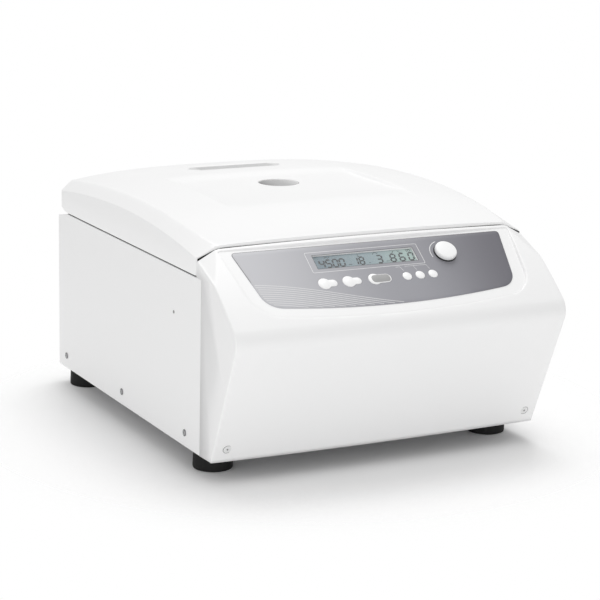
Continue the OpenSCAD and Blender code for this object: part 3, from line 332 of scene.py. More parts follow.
class Shape:
    """Points and faces that are gathered before they become a piece."""

    def __init__(self):
        self.points = []
        self.faces = []

    def add(self, points, faces, placement=None):
        first = len(self.points)
        for p in points:
            self.points.append(placement @ Vector(p) if placement else Vector(p))
        self.faces.extend([first + i for i in face] for face in faces)
        return self

    def grid(self, rows, closed=False):
        """A sheet through rows of points of equal length."""
        first = len(self.points)
        count = len(rows[0])
        for line in rows:
            self.points.extend(Vector(p) for p in line)
        for j in range(len(rows) - 1):
            for i in range(count if closed else count - 1):
                k = (i + 1) % count
                self.faces.append([first + j * count + i, first + j * count + k,
                                   first + (j + 1) * count + k, first + (j + 1) * count + i])
        return self

    def lathe(self, profile, placement, count=64):
        """Turns a profile of (radius, height) about the local z axis."""
        rows = [[placement @ Vector((r * math.cos(a), r * math.sin(a), z))
                 for a in (2 * math.pi * i / count for i in range(count))] for r, z in profile]
        return self.grid(rows, closed=True)

    def slab(self, outline, levels, placement, holes=(), rim=0.0):
        """Stacks the outline at levels of (inset, height), with flat caps at both ends. A rim is a row of
        points just inside each cap's edges, which keeps the rounding of the edges off the flat."""
        first = len(self.points)
        for loop, sign in [(outline, 1), *((h, -1) for h in holes)]:
            rows = [[placement @ Vector((x, y, z)) for x, y in inset(loop, sign * d)] for d, z in levels]
            if sign < 0:
                rows = [list(reversed(row)) for row in rows]
            self.grid(rows, closed=True)
        for d, z, flip in ((*levels[0], True), (*levels[-1], False)):
            cap = inset(outline, d)
            rings = [inset(outline, d + rim), *(inset(h, -d - rim) for h in holes)] if rim else []
            places, faces = triangulate(cap, rings, [inset(h, -d) for h in holes], [])
            faces = [list(reversed(f)) for f in faces] if flip else faces
            self.add([(x, y, z) for x, y in places], faces, placement)
        return self

    def block(self, low, high, placement=None, fillet=0.6):
        """A box with rounded edges."""
        mesh = bmesh.new()
        bmesh.ops.create_cube(mesh, size=1)
        for v in mesh.verts:
            v.co = Vector([lo if c < 0 else hi for c, lo, hi in zip(v.co, low, high)])
        bmesh.ops.bevel(mesh, geom=mesh.edges[:], offset=fillet, segments=3, profile=0.5, affect="EDGES")
        mesh.verts.index_update()
        self.add([v.co for v in mesh.verts], [[v.index for v in f.verts] for f in mesh.faces], placement)
        mesh.free()
        return self

    def ribbon(self, path, width, lift):
        """A thin printed line on the control face, along points (x, s)."""
        left = []
        right = []
        for i, p in enumerate(path):
            before = Vector(path[max(i - 1, 0)])
            after = Vector(path[min(i + 1, len(path) - 1)])
            along = (after - before).normalized()
            side = Vector((-along.y, along.x)) * width / 2
            left.append(face_point(p[0] + side.x, p[1] + side.y, lift))
            right.append(face_point(p[0] - side.x, p[1] - side.y, lift))
        return self.grid([left, right])

    def piece(self, name, body, material, replaces=(), sharp=35):
        """Makes the shape a piece that rides on a CAD body."""
        mesh = clean_mesh([at(*p) for p in self.points], self.faces, WELD * MM)
        data = bpy.data.meshes.new(name)
        mesh.to_mesh(data)
        mesh.free()
        data.polygons.foreach_set("use_smooth", [True] * len(data.polygons))
        data.set_sharp_from_angle(angle=math.radians(sharp))
        data.materials.append(material)
        obj = bpy.data.objects.new(name, data)
        SCENE.collection.objects.link(obj)
        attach(obj, body)
        if replaces:
            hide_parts(*replaces)
        return obj


def bowed(x, y, z):
    """A point of the front panel's side profile, carried along the bow of the front."""
    reach = BOW_AXIS_Y + FRONT_BOW - y
    return Vector((x, BOW_AXIS_Y - math.sqrt(reach ** 2 - x * x), z))


def unbowed_y(x, y):
    return BOW_AXIS_Y + FRONT_BOW - math.hypot(BOW_AXIS_Y - y, x)


def brow_lift(x, s):
    """Height of the bowed brow above the flat of the control face."""
    lift = 0.0
    for _ in range(6):
        p = face_point(x, s, lift)
        y = unbowed_y(x, p.y)
        lift += BROW_R - math.hypot(y - BROW_CENTRE_Y, p.z - BROW_CENTRE_Z)
    return lift


BEVEL_TILT = math.atan(BEVEL_DROP / BEVEL_W * math.cos(BEVEL_SLOPE_Y))
BEVEL_NORMAL = Vector((math.sin(BEVEL_TILT), -math.cos(BEVEL_TILT) * math.sin(BEVEL_SLOPE_Y),
                       math.cos(BEVEL_TILT) * math.cos(BEVEL_SLOPE_Y)))
BEVEL_POINT = Vector((BEVEL_X, LID_SEAM_Y, FACE_Z + 0.6))
FACE_NORMAL = Vector((0, -FACE_SIN, FACE_COS))


def outer_lift(x, s):
    """Height of the panel's outside above the control face: the brow, cut by the corner bevel."""
    brow = brow_lift(x, s)
    flat = face_point(abs(x), s, 0)
    bevel = BEVEL_NORMAL.dot(BEVEL_POINT - flat) / BEVEL_NORMAL.dot(FACE_NORMAL)
    blend = 1.0
    apart = max(blend - abs(brow - bevel), 0) / blend
    return min(brow, bevel) - apart * apart * blend / 4


def on_panel(p):
    """(x, s) of a point near the control face."""
    s = -((p.y - LID_SEAM_Y) * FACE_COS + (p.z - FACE_Z) * FACE_SIN)
    return p.x, s


def foot_profile():
    """Side profile from the foot of the panel to the brow, as (point, outward normal)."""
    first = FOOT_ANGLE + math.pi / 2
    tangent = (BULGE_Y + BULGE_R * math.cos(first), BULGE_Z + BULGE_R * math.sin(first))
    out_y, out_z = math.cos(first), math.sin(first)
    low_y = tangent[0] - math.cos(FOOT_ANGLE) * tangent[1] / math.sin(FOOT_ANGLE)
    low = [((low_y + (tangent[0] - low_y) * t, tangent[1] * t), (out_y, out_z))
           for t in spread(0, 1, 30)[:-1]]
    bulge = [((BULGE_Y + BULGE_R * math.cos(a), BULGE_Z + BULGE_R * math.sin(a)), (math.cos(a), math.sin(a)))
             for a in spread(first, math.pi / 2 + BROW_START, 24)]
    return low + bulge


def side_arc(base, normal, side):
    """Rounds the corner between the front and the side of the panel, from a point of the front."""
    rows = []
    for angle in spread(0, math.pi / 2, 5):
        x = side * (HALF_W - SIDE_FILLET + SIDE_FILLET * math.sin(angle))
        back = SIDE_FILLET * (1 - math.cos(angle))
        rows.append(Vector((x, base.y - back * normal[0], base.z - back * normal[1])))
    return rows


def seam_arc(base, slope):
    """Rounds the panel's rear top edge down to the wall that faces the lid."""
    start = math.pi / 2 + slope
    centre_y = base.y - SEAM_FILLET * math.cos(start)
    centre_z = base.z - SEAM_FILLET * math.sin(start)
    return [Vector((base.x, centre_y + SEAM_FILLET * math.cos(a), centre_z + SEAM_FILLET * math.sin(a)))
            for a in spread(start, 0, 5)]


def key_outline(name, grow=0.0):
    """Outline of a key about its own centre."""
    if name in SMALL_KEYS:
        return circle(SMALL_KEY_R + grow, 40)
    start = name == "start_key"
    bar_r = WIDE_KEY_R - (1.7 if start else 3.0)
    bar_x = WIDE_KEY_R + (7.2 if start else 3.0)
    big = WIDE_KEY_R + grow
    low = bar_r + grow
    meet = math.asin(low / big)
    head = [(big * math.cos(a), big * math.sin(a)) for a in spread(meet, 2 * math.pi - meet, 40)]
    tail = [(bar_x + low * math.cos(a), low * math.sin(a)) for a in spread(-math.pi / 2, math.pi / 2, 20)]
    return head + tail


KEY_PLACES = {**WIDE_KEYS, **SMALL_KEYS}


def key_loop(name, grow):
    """Outline of a key's hole on the control face, as (x, s)."""
    return [(KEY_PLACES[name] + x, KEY_S - y) for x, y in reversed(key_outline(name, grow))]


def face_holes():
    """Holes in the control face and its film, for the display, the knob's shaft and the keys."""
    window = rectangle(WINDOW_HALF_W + KEY_GAP, WINDOW_HALF_H + KEY_GAP, WINDOW_X, WINDOW_S)
    shaft = circle(4.0, 32, KNOB_X, KNOB_S)
    return [window, shaft] + [key_loop(name, KEY_GAP) for name in KEY_PLACES]


def front_panel(material):
    """One moulding: foot, bulge, brow, sunk control face, bevelled corners, rounded edges."""
    half = HALF_W - SIDE_FILLET
    columns = spread(-half, half, 86)
    profile = foot_profile()
    shape = Shape()
    shape.grid([[bowed(x, *p) for x in columns] for p, _ in profile])
    slope = math.radians(31)
    top_y = LID_SEAM_Y - SEAM_FILLET * (1 + math.sin(slope))

    def top_place(x):
        s = 0.0
        for _ in range(6):
            lift = outer_lift(x, s)
            s = (LID_SEAM_Y - top_y - lift * FACE_SIN) / FACE_COS
        return x, s

    join = [on_panel(bowed(x, *profile[-1][0])) for x in columns]
    top = [top_place(x) for x in columns]
    sides = {side: [(side * half, s) for s in spread(join[0][1], top[0][1], 40)] for side in SIDES}
    boundary = join + sides[1][1:-1] + top[::-1] + sides[-1][1:-1][::-1]
    outline = face_outline(FACE_HALF_TOP, FACE_TOP_S, FACE_END_S, FACE_TAPER, FACE_CORNER_R, 4)
    steps = [0.0, 0.04, 0.15, 0.35, 0.65, 1.0]
    rings = [inset(outline, -STEP_W * t) for t in steps]
    rings.append(inset(outline, 0.4))
    grid = [(x, s) for x in spread(-212, 212, 106) for s in spread(-6, 124, 44)]
    corner = [(side * x, s) for side in SIDES for x in spread(188, 212.6, 16) for s in spread(-6, 60, 44)]
    places, faces = triangulate(boundary, rings, face_holes(), grid + corner)
    depth = signed_distance(places, outline)
    shape_points = []
    for (x, s), d in zip(places, depth):
        share = min(max(d / STEP_W, 0.0), 1.0)
        lift = outer_lift(x, s) * math.sqrt(1 - (1 - share) ** 2) if share > 0.001 else 0.0
        shape_points.append(face_point(x, s, lift))
    shape.add(shape_points, faces)

    for side in SIDES:
        stations = [(bowed(side * half, *p), n) for p, n in profile]
        upper = []
        for x, s in sides[side][1:]:
            upper.append((face_point(x, s, outer_lift(x, s)), (-FACE_SIN, FACE_COS)))
        arcs = [side_arc(base, normal, side) for base, normal in stations + upper]
        shape.grid(arcs)
        outer = [arc[-1] for arc in arcs]
        wall = outer + [Vector((side * HALF_W, y, z)) for y, z in (
            (LID_SEAM_Y, outer[-1].z - 1), (LID_SEAM_Y, DECK_H), (SIDE_SEAM_Y, DECK_H), (SIDE_SEAM_Y, 0))]
        shape.add(wall, [list(range(len(wall)))])
        seam_end = seam_arc(face_point(*top[0 if side < 0 else -1], outer_lift(*top[0])), slope)
        fill = arcs[-1] + [wall[len(outer)]] + seam_end[::-1]
        shape.add(fill, [list(range(len(fill)))])
    seam = [seam_arc(face_point(x, s, outer_lift(x, s)), slope) for x, s in top]
    shape.grid([line + [Vector((line[-1].x, LID_SEAM_Y, DECK_H))] for line in seam])
    for side in SIDES:
        end = seam[0 if side < 0 else -1][-1]
        strip = [end, Vector((side * HALF_W, LID_SEAM_Y, arcs[-1][-1].z - 1)),
                 Vector((side * HALF_W, LID_SEAM_Y, DECK_H)), Vector((side * half, LID_SEAM_Y, DECK_H))]
        shape.add(strip, [[0, 1, 2, 3]])
    obj = shape.piece("front_moulding", "case", material, ["front_panel"], sharp=40)
    thicken(obj, PANEL_T)
    return obj


def thicken(obj, thickness):
    wall = obj.modifiers.new("wall", "SOLIDIFY")
    wall.thickness = thickness * MM
    wall.offset = -1
    return obj


def lid_edge(y):
    """Height of the lid's side creases, which rise to a peak and fall again to the rear."""
    if y < LID_PEAK_Y:
        fall = (LID_RISE - LID_PROUD) * ((LID_PEAK_Y - y) / (LID_PEAK_Y - LID_FRONT)) ** 2
    else:
        fall = (LID_RISE - LID_REAR_RISE) * ((y - LID_PEAK_Y) / (LID_REAR - LID_PEAK_Y)) ** 2
    return FACE_Z + LID_RISE - fall


def crease_x(y):
    return HALF_W - LID_BEVEL_W - (BEVEL_W - LID_BEVEL_W) * math.exp((LID_FRONT - y) / BEVEL_RUN)


def lid_arch(x, y):
    """Height of the lid without its recess: crowned between the creases, bevelled outside them."""
    crown = CROWN_FRONT + (LID_CROWN - CROWN_FRONT) * smooth((y - LID_FRONT) / CROWN_RUN)
    crown += CROWN_REAR * smooth((y - LID_REAR + CROWN_REAR_RUN) / CROWN_REAR_RUN)
    x = abs(x)
    crease = crease_x(y)
    if x <= crease:
        return lid_edge(y) + crown * (1 - (x / crease) ** CROWN_POWER)
    return lid_edge(y) - BEVEL_DROP * (x - crease) / (HALF_W - crease)


def recess_floor(x):
    return lid_arch(0, RECESS_REAR) - RECESS_DEPTH - RECESS_SIDE_FALL * (x / RECESS_HALF_W) ** 2


def lid_height(x, y):
    """Height of the lid's outer face."""
    arch = lid_arch(x, y)
    over = arch - recess_floor(x)
    cut = (over + math.sqrt(over * over + 4 * RECESS_BLEND ** 2)) / 2
    share = smooth((RECESS_HALF_W - abs(x)) / 6) * (1 - smooth((y - RECESS_REAR) / RECESS_WALL))
    t = max(y - (LID_REAR - REAR_ROUND), 0) / REAR_ROUND
    drop = REAR_ROUND * 0.5 * (1 - math.sqrt(1 - t * t * 0.99))
    return arch - cut * share - drop


def lid_bottom(y):
    return LID_BOTTOM + 5.5 * smooth((y - LID_REAR + 20) / 20)


def lid_outline(distance, corner=5.0):
    """Plan outline of the lid, moved inwards, with the same number of points at every distance."""
    half_y = (LID_REAR - LID_FRONT) / 2
    middle = (LID_REAR + LID_FRONT) / 2
    points = []
    for sx, sy, first in ((1, -1, -90), (1, 1, 0), (-1, 1, 90), (-1, -1, 180)):
        cx = sx * (HALF_W - corner)
        cy = middle + sy * (half_y - corner)
        for angle in spread(first, first + 90, 6):
            a = math.radians(angle)
            points.append(((cx, cy), (math.cos(a), math.sin(a))))
    dense = []
    for i, (centre, normal) in enumerate(points):
        dense.append((centre, normal))
        after = points[(i + 1) % len(points)]
        if after[0] != centre:
            gap = math.dist(centre, after[0])
            stops = spread(0, 1, max(int(gap / 6), 2))[1:-1]
            if normal[1] > 0.5:
                edges = [side * (BRACKET_X + d) for side in SIDES for d in (-NOTCH_HALF_W, NOTCH_HALF_W)]
                stops = sorted(stops + [(centre[0] - x) / gap for x in edges])
            for t in stops:
                dense.append((tuple(Vector(centre).lerp(Vector(after[0]), t)), normal))
    reach = corner - distance
    return [((c[0] + reach * n[0], c[1] + reach * n[1]), n) for c, n in dense]


def grille_outline(grow):
    w = GRILLE_HALF_W + grow
    d = GRILLE_HALF_D + grow
    tip = GRILLE_HALF_D * 2 / 3
    return [(-w + tip, -d), (w - tip, -d), (w, 0), (w - tip, d), (-w + tip, d), (-w, 0)]


def in_notch(p):
    """Whether a point lies where the rear wall leaves room for a hinge bracket."""
    return p.y > CHAMBER_Y and abs(abs(p.x) - BRACKET_X) < NOTCH_HALF_W


def lid_shell(material):
    """Crowned lid with bevelled sides, a shallow recess, rounded edges and two notches at the rear."""
    fillet = 1.1
    shape = Shape()
    border = lid_outline(fillet)
    boundary = [p for p, _ in border]
    xs = spread(-212, 212, 106) + [side * x for side in SIDES for x in spread(119, 129, 10)]
    ys = spread(46, 465, 84) + spread(456, 465, 6)
    sight = circle(SIGHT_R + 0.3, 64, 0, CHAMBER_Y)
    grille = [(x, y + GRILLE_Y) for x, y in rounded(grille_outline(0.4), 2)]
    grid = sorted({(round(x, 3), round(y, 3)) for x in xs for y in ys})
    grid += [(side * (crease_x(y) + d), y) for side in SIDES for d in (-1, 1) for y in spread(46, 464, 84)]
    places, faces = triangulate(boundary, [circle(SIGHT_R + 1.5, 64, 0, CHAMBER_Y)], [sight, grille], grid)
    shape.add([(x, y, lid_height(x, y)) for x, y in places], faces)
    rows = []
    for (x, y), (nx, ny) in border:
        slope = math.atan2(lid_height(x - nx, y - ny) - lid_height(x, y), 1.0)
        line = [Vector((x, y, lid_height(x, y)))]
        out = fillet * math.sin(slope)
        touch = (x + nx * out, y + ny * out)
        touch_z = line[0].z - out * math.tan(slope)
        centre_z = touch_z - fillet * math.cos(slope)
        for a in spread(math.pi / 2 - slope, 0, 5):
            reach = fillet * math.cos(a)
            line.append(Vector((x + nx * reach, y + ny * reach, centre_z + fillet * math.sin(a))))
        end = line[-1]
        line.append(Vector((end.x, end.y, min(NOTCH_TOP + 0.7, end.z - 1))))
        hems = []
        for low in (lid_bottom(end.y), NOTCH_TOP):
            hems.append([Vector((end.x - nx * d, end.y - ny * d, low + h))
                         for d, h in ((0, 0.7), (0.2, 0.2), (0.7, 0))])
        rows.append((line + hems[0], line + hems[1][1:]))
    for one, two in zip(rows, rows[1:] + rows[:1]):
        kind = int(in_notch((one[0][0] + two[0][0]) / 2))
        shape.grid([one[kind], two[kind]])
    obj = shape.piece("lid_skin", "lid", material, ["lid_shell"], sharp=40)
    thicken(obj, LID_T - 0.4)
    return obj


def add_node(tree, kind, **inputs):
    """A new shader node with its inputs set; an underscore in an input's name stands for a space."""
    node = tree.nodes.new("ShaderNode" + kind)
    for name, value in inputs.items():
        node.inputs[name.replace("_", " ")].default_value = value
    return node


def wire(tree, *runs):
    """Links an output to an input, for each (node, output, node, input)."""
    for source, output, target, entry in runs:
        tree.links.new(source.outputs[output], target.inputs[entry])


def mix_surface(tree, share, first, second, output="Material Output"):
    """Makes the surface a mix of two shaders. The share of the second is a number or (node, output)."""
    mix = add_node(tree, "MixShader")
    if isinstance(share, tuple):
        wire(tree, (*share, mix, "Fac"))
    else:
        mix.inputs["Fac"].default_value = share
    wire(tree, (first, 0, mix, 1), (second, 0, mix, 2), (mix, 0, tree.nodes[output], "Surface"))


def material_of(name, color, roughness, metallic=0.0):
    """A plain finish, returned with its node tree and its shader node."""
    material = bpy.data.materials.new(name)
    material.use_nodes = True
    shader = material.node_tree.nodes["Principled BSDF"]
    for entry, value in (("Base Color", (*color, 1)), ("Roughness", roughness), ("Metallic", metallic)):
        shader.inputs[entry].default_value = value
    return material, material.node_tree, shader


def add_noise(tree, scale, stretch=(1, 1, 1)):
    """Noise in the piece's own coordinates."""
    coords = add_node(tree, "TexCoord")
    mapping = add_node(tree, "Mapping", Scale=stretch)
    noise = add_node(tree, "TexNoise", Scale=scale, Detail=3)
    wire(tree, (coords, "Object", mapping, "Vector"), (mapping, "Vector", noise, "Vector"))
    return noise


def add_grain(tree, shader, scale, height):
    """A fine uneven surface."""
    bump = add_node(tree, "Bump", Strength=0.5, Distance=height)
    wire(tree, (add_noise(tree, scale), "Fac", bump, "Height"), (bump, "Normal", shader, "Normal"))


def vary_sheen(tree, shader, scale, low, high, stretch=(1, 1, 1)):
    """Roughness that varies a little from place to place."""
    remap = add_node(tree, "MapRange", To_Min=low, To_Max=high)
    wire(tree, (add_noise(tree, scale, stretch), "Fac", remap, "Value"),
         (remap, "Result", shader, "Roughness"))


def moulding(name, color, roughness):
    material, tree, shader = material_of(name, color, roughness)
    add_grain(tree, shader, 1500, 0.00001)
    vary_sheen(tree, shader, 30, roughness - 0.04, roughness + 0.04)
    return material


def metal(name, color, roughness, stretch=(1, 1, 1)):
    material, tree, shader = material_of(name, color, roughness, metallic=1.0)
    vary_sheen(tree, shader, 400, roughness - 0.08, roughness + 0.1, stretch)
    return material


def rubber(name, value, roughness=0.7):
    material, tree, shader = material_of(name, (value, value, value), roughness)
    shader.inputs["Specular IOR Level"].default_value = 0.25
    add_grain(tree, shader, 900, 0.00002)
    return material


def clear(name, color, share):
    """Thin clear plastic or glass: mostly see-through, with a fixed share of gloss."""
    material, tree, shader = material_of(name, color, 0.08)
    mix_surface(tree, share, add_node(tree, "BsdfTransparent"), shader)
    vary_sheen(tree, shader, 60, 0.05, 0.12)
    return material


def ramp_along(name, stops, low, high, roughness):
    """A finish whose colour runs along the row frame's x axis from low to high, in metres."""
    material, tree, shader = material_of(name, stops[0][1], roughness)
    split = add_node(tree, "SeparateXYZ")
    remap = add_node(tree, "MapRange", From_Min=low, From_Max=high)
    ramp = add_node(tree, "ValToRGB")
    ramp.color_ramp.interpolation = "EASE"
    first, *middle, last = stops
    for element, stop in zip(ramp.color_ramp.elements, (first, last)):
        element.position = stop[0]
        element.color = (*stop[1], 1)
    for stop in middle:
        ramp.color_ramp.elements.new(stop[0]).color = (*stop[1], 1)
    wire(tree, (add_node(tree, "TexCoord"), "Object", split, "Vector"), (split, "X", remap, "Value"),
         (remap, "Result", ramp, "Fac"), (ramp, "Color", shader, "Base Color"))
    add_grain(tree, shader, 2500, 0.000005)
    return material


def sight_plastic():
    """Clear disc with painted shade and reflection: its colour runs from dark at the left to light at the
    right.
    """
    stops = [(0.0, grey(140)), (0.5, grey(190)), (1.0, grey(228))]
    material = ramp_along("sight_plastic_painted_shading", stops, -SIGHT_R * MM, SIGHT_R * MM, 0.12)
    tree = material.node_tree
    mix_surface(tree, 0.8, add_node(tree, "BsdfTransparent"), tree.nodes["Principled BSDF"])
    return material


def grey(value):
    """A neutral colour given by its 0 to 255 screen value."""
    share = value / 255
    linear = share / 12.92 if share <= 0.04045 else ((share + 0.055) / 1.055) ** 2.4
    return (linear, linear, linear)


def tint(red, green, blue):
    return tuple(grey(v)[0] for v in (red, green, blue))


def overlay_outline():
    return face_outline(OVERLAY_HALF_TOP, OVERLAY_TOP_S, OVERLAY_END_S, OVERLAY_TAPER, OVERLAY_CORNER_R,
                        OVERLAY_TOP_R)


def control_overlay(material):
    """Printed film on the control face, cut out round the display, knob and keys."""
    outline = overlay_outline()
    grid = [(x, s) for x in spread(-176, 176, 60) for s in spread(10, 104, 18)]
    places, faces = triangulate(inset(outline, 0.2), [], face_holes(), grid)
    shape = Shape()
    shape.add([face_point(x, s, OVERLAY_T) for x, s in places], faces)
    levels = [(0.2, OVERLAY_T), (0.05, OVERLAY_T - 0.05), (0.0, OVERLAY_T - 0.2), (0.0, 0.0)]
    shape.grid([[face_point(x, s, z) for x, s in inset(outline, d)] for d, z in levels], closed=True)
    for hole in face_holes():
        shape.grid([[face_point(x, s, z) for x, s in hole] for z in (OVERLAY_T, 0.0)], closed=True)
    return shape.piece("overlay_film", "case", material, ["control_overlay"])


def printed_lines(material):
    """Thin printed lines: frame round the display, leaders to the small keys, arc beside the knob."""
    shape = Shape()
    lift = OVERLAY_T + 0.03
    frame_points = rounded(rectangle(73.3, 15.2, -14.6, 33.5), 2)
    shape.ribbon(frame_points + frame_points[:2], 0.6, lift)
    for x, reach in zip(SMALL_KEYS.values(), (9, 14, 22)):
        turn_s = 51.2
        shape.ribbon([(x - reach, turn_s), (x - 3.2, turn_s), (x - 0.9, KEY_S - 8.2)], 0.45, lift)
    arc_r = 18.7
    arc = [(KNOB_X + arc_r * math.cos(a), KNOB_S - arc_r * math.sin(a))
           for a in spread(math.radians(105), math.radians(195), 24)]
    shape.ribbon(arc, 0.9, lift)
    return shape.piece("printed_lines", "case", material)


def wave_lines(material):
    """Fine printed lines in the lower left of the control face, which fall to the right."""
    shape = Shape()
    outline = overlay_outline()
    lift = OVERLAY_T + 0.02
    left_x = -170.0
    for i in range(12):
        start_s = 58.6 + 3.2 * i
        path = []
        for x in spread(left_x, 60, 115):
            run = (x - left_x) / 100
            path.append((x, start_s + 8 * run + 34 * smooth(run / 2.2)))
        inside = signed_distance(path, outline) < -1.0
        path = [p for p, wanted in zip(path, inside) if wanted]
        if len(path) > 3:
            shape.ribbon(path, 0.8, lift)
    return shape.piece("wave_lines", "case", material)


def overlay_painted_shade(material):
    """Painted shade: a dark grey line round the top and sides of the film, where the fine gap falls into
    shade, and one round the display.
    """
    outline = overlay_outline()
    upper = [i for i, (_, s) in enumerate(outline) if s < OVERLAY_END_S - 40]
    first = next(i for i in upper if i - 1 not in upper and i > 0)
    path = [outline[i] for i in upper if i >= first] + [outline[i] for i in upper if i < first]
    shape = Shape()
    lift = OVERLAY_T + 0.02
    shape.ribbon(inset(path + [path[0]], 0.35)[1:-1], 0.5, lift)
    window = rounded(rectangle(WINDOW_HALF_W + 0.6, WINDOW_HALF_H + 0.6, WINDOW_X, WINDOW_S), 1)
    shape.ribbon(window + window[:2], 0.5, lift)
    return shape.piece("overlay_painted_shade", "case", material)


def lid_gap_shade_strip(material):
    """Dark strip in the gap between the front panel and the lid, which ends at the panel's edge: painted
    shade, a dark sheet that makes the gap read as a dark line.
    """
    shape = Shape()
    front_y = LID_SEAM_Y + 0.05
    rear_y = LID_SEAM_Y + 0.7
    rows = []
    for x in spread(-HALF_W + 1.5, HALF_W - 1.5, 90):
        edge = face_point(x, 0, outer_lift(x, 0))
        top = edge.z - 0.9 + 0.85 * smooth((BEVEL_X - abs(x)) / 8)
        section = ((front_y, top - 4), (front_y, top), (rear_y, top), (rear_y, top - 4))
        rows.append([Vector((x, y, z)) for y, z in section])
    shape.grid(rows, closed=True)
    for row in (rows[0], rows[-1][::-1]):
        shape.add(row, [[0, 1, 2, 3]])
    return shape.piece("lid_gap_shade_strip", "case", material)


SEGMENTS = {"0": "abcdef", "1": "bc", "2": "abged", "3": "abgcd", "4": "fgbc", "5": "afgcd", "6": "afgedc",
            "7": "abc", "8": "abcdefg", "9": "abcdfg", "-": "g"}


def digits(shape, text, x, s, width, height, pitch, lift):
    """Seven-segment figures that lean a little, drawn from the left."""
    stroke = 2.0
    lean = 0.12
    places = {"a": ((0, 1), (1, 1)), "b": ((1, 1), (1, 0.5)), "c": ((1, 0.5), (1, 0)), "d": ((0, 0), (1, 0)),
              "e": ((0, 0.5), (0, 0)), "f": ((0, 1), (0, 0.5)), "g": ((0, 0.5), (1, 0.5))}
    for sign in text:
        for segment in SEGMENTS[sign]:
            ends = [Vector((u * width + v * height * lean, v * height)) for u, v in places[segment]]
            along = (ends[1] - ends[0]).normalized()
            line = [ends[0] + along * stroke * 0.3, ends[1] - along * stroke * 0.3]
            shape.ribbon([(x + p.x, s - p.y) for p in line], stroke, lift)
        x += pitch


# Small signs along the top of the display, as strokes through points (x, s).
DISPLAY_MARKS = [
    [(-65.0, 27.0), (-62.6, 25.2), (-60.2, 27.0), (-57.8, 25.2)],
    [(-61.4, 28.4), (-61.4, 29.6)],
    [(-21.0, 24.6), (-21.0, 28.8)],
    [(-22.6, 28.8), (-19.4, 28.8)],
    [(-1.6, 27.6), (-0.6, 25.6), (1.6, 24.9), (3.6, 25.6), (4.6, 27.6)],
    [(21.6, 28.2), (23.6, 28.2), (26.4, 24.8)],
    [(31.4, 24.8), (34.2, 28.2), (36.2, 28.2)],
    [(43.0, 24.8), (48.6, 24.8)],
    *([(x, 24.8), (x, 28.2)] for x in (43.6, 45.8, 48.0)),
]


def display(glass, screen, ink):
    """Liquid crystal display: a clear pane over a blue-grey screen with dark figures."""
    pane = Shape()
    placement = on_face(WINDOW_X, WINDOW_S)
    pane.slab(rounded(rectangle(WINDOW_HALF_W, WINDOW_HALF_H), 0.8),
              [(0.1, -0.55), (0, -0.45), (0, 0.3), (0.15, 0.45)], placement)
    pane.piece("display_pane", "case", glass, ["display_window"])
    back = Shape()
    back.block((-WINDOW_HALF_W - 3, -WINDOW_HALF_H - 0.2, -5.8),
               (WINDOW_HALF_W + 3, WINDOW_HALF_H + 0.2, -3.9), placement)
    back.slab(rectangle(WINDOW_HALF_W - 0.3, WINDOW_HALF_H - 0.3), [(0, -3.9), (0, -1.35)], placement)
    back.piece("display_screen", "case", screen)
    figures = Shape()
    lift = -1.3
    base_s = 40.8
    for text, x, width, pitch in (("4500", -74.3, 5.9, 8.6), ("18", -30.6, 5.4, 8.2), ("3", 0.6, 6.2, 0),
                                  ("860", 18.4, 6.2, 12.0)):
        digits(figures, text, x, base_s, width, 11.0, pitch, lift)
    for x, length in ((-37.5, 4.5), (-11.0, 2.0), (11.8, 4.6)):
        figures.ribbon([(x, base_s - 1.6), (x + length, base_s - 1.6)], 0.8, lift)
    for marks in DISPLAY_MARKS:
        figures.ribbon(marks, 0.7, lift)
    figures.piece("display_figures", "case", ink)


def keys(white, film):
    """Key caps with rounded rims; the start key carries a grey pill."""
    for name, x in KEY_PLACES.items():
        shape = Shape()
        top = OVERLAY_T + 0.6
        levels = [(0, -2.8), (0, top - 0.45), (0.12, top - 0.2), (0.45, top)]
        shape.slab(key_outline(name), levels, on_face(x, KEY_S))
        body = name.replace("_key", "_button")
        shape.piece(name + "_cap", body, white, [name])
        if name == "start_key":
            pill = Shape()
            outline = rounded(rectangle(11.9, 5.5, 8.1, 0), 5.4, 10)
            pill.slab(outline, [(0, top - 0.3), (0, top + 0.03), (0.15, top + 0.08)], on_face(x, KEY_S))
            pill.piece("start_key_pill", body, film)


def knob(white, ring):
    """Low knob with a round shoulder and a slightly domed top, over a thin dark ring."""
    shape = Shape()
    low = KNOB_LOW
    top = low + KNOB_H
    shoulder = 2.4
    crown = 0.5
    profile = [(3.2, low), (KNOB_R - 0.9, low), (KNOB_R - 0.3, low + 0.2), (KNOB_R, low + 0.7)]
    profile += [(KNOB_R - shoulder + shoulder * math.cos(a), top - crown - shoulder + shoulder * math.sin(a))
                for a in spread(0, 1.45, 8)]
    profile += [(8.0, top - 0.28), (4.0, top - 0.07), (0.001, top)]
    shape.lathe(profile, on_face(KNOB_X, KNOB_S), 96)
    shape.piece("knob_dome", "knob", white, ["setting_knob"])
    base = Shape()
    outer = KNOB_R + 0.7
    base_low = OVERLAY_T
    base_top = OVERLAY_T + KNOB_RING_T
    profile = [(4, base_low), (outer, base_low), (outer, base_top - 0.3), (outer - 0.3, base_top),
               (4, base_top), (4, base_low)]
    base.lathe(profile, on_face(KNOB_X, KNOB_S), 96)
    base.piece("knob_ring", "case", ring, ["knob_bezel"])


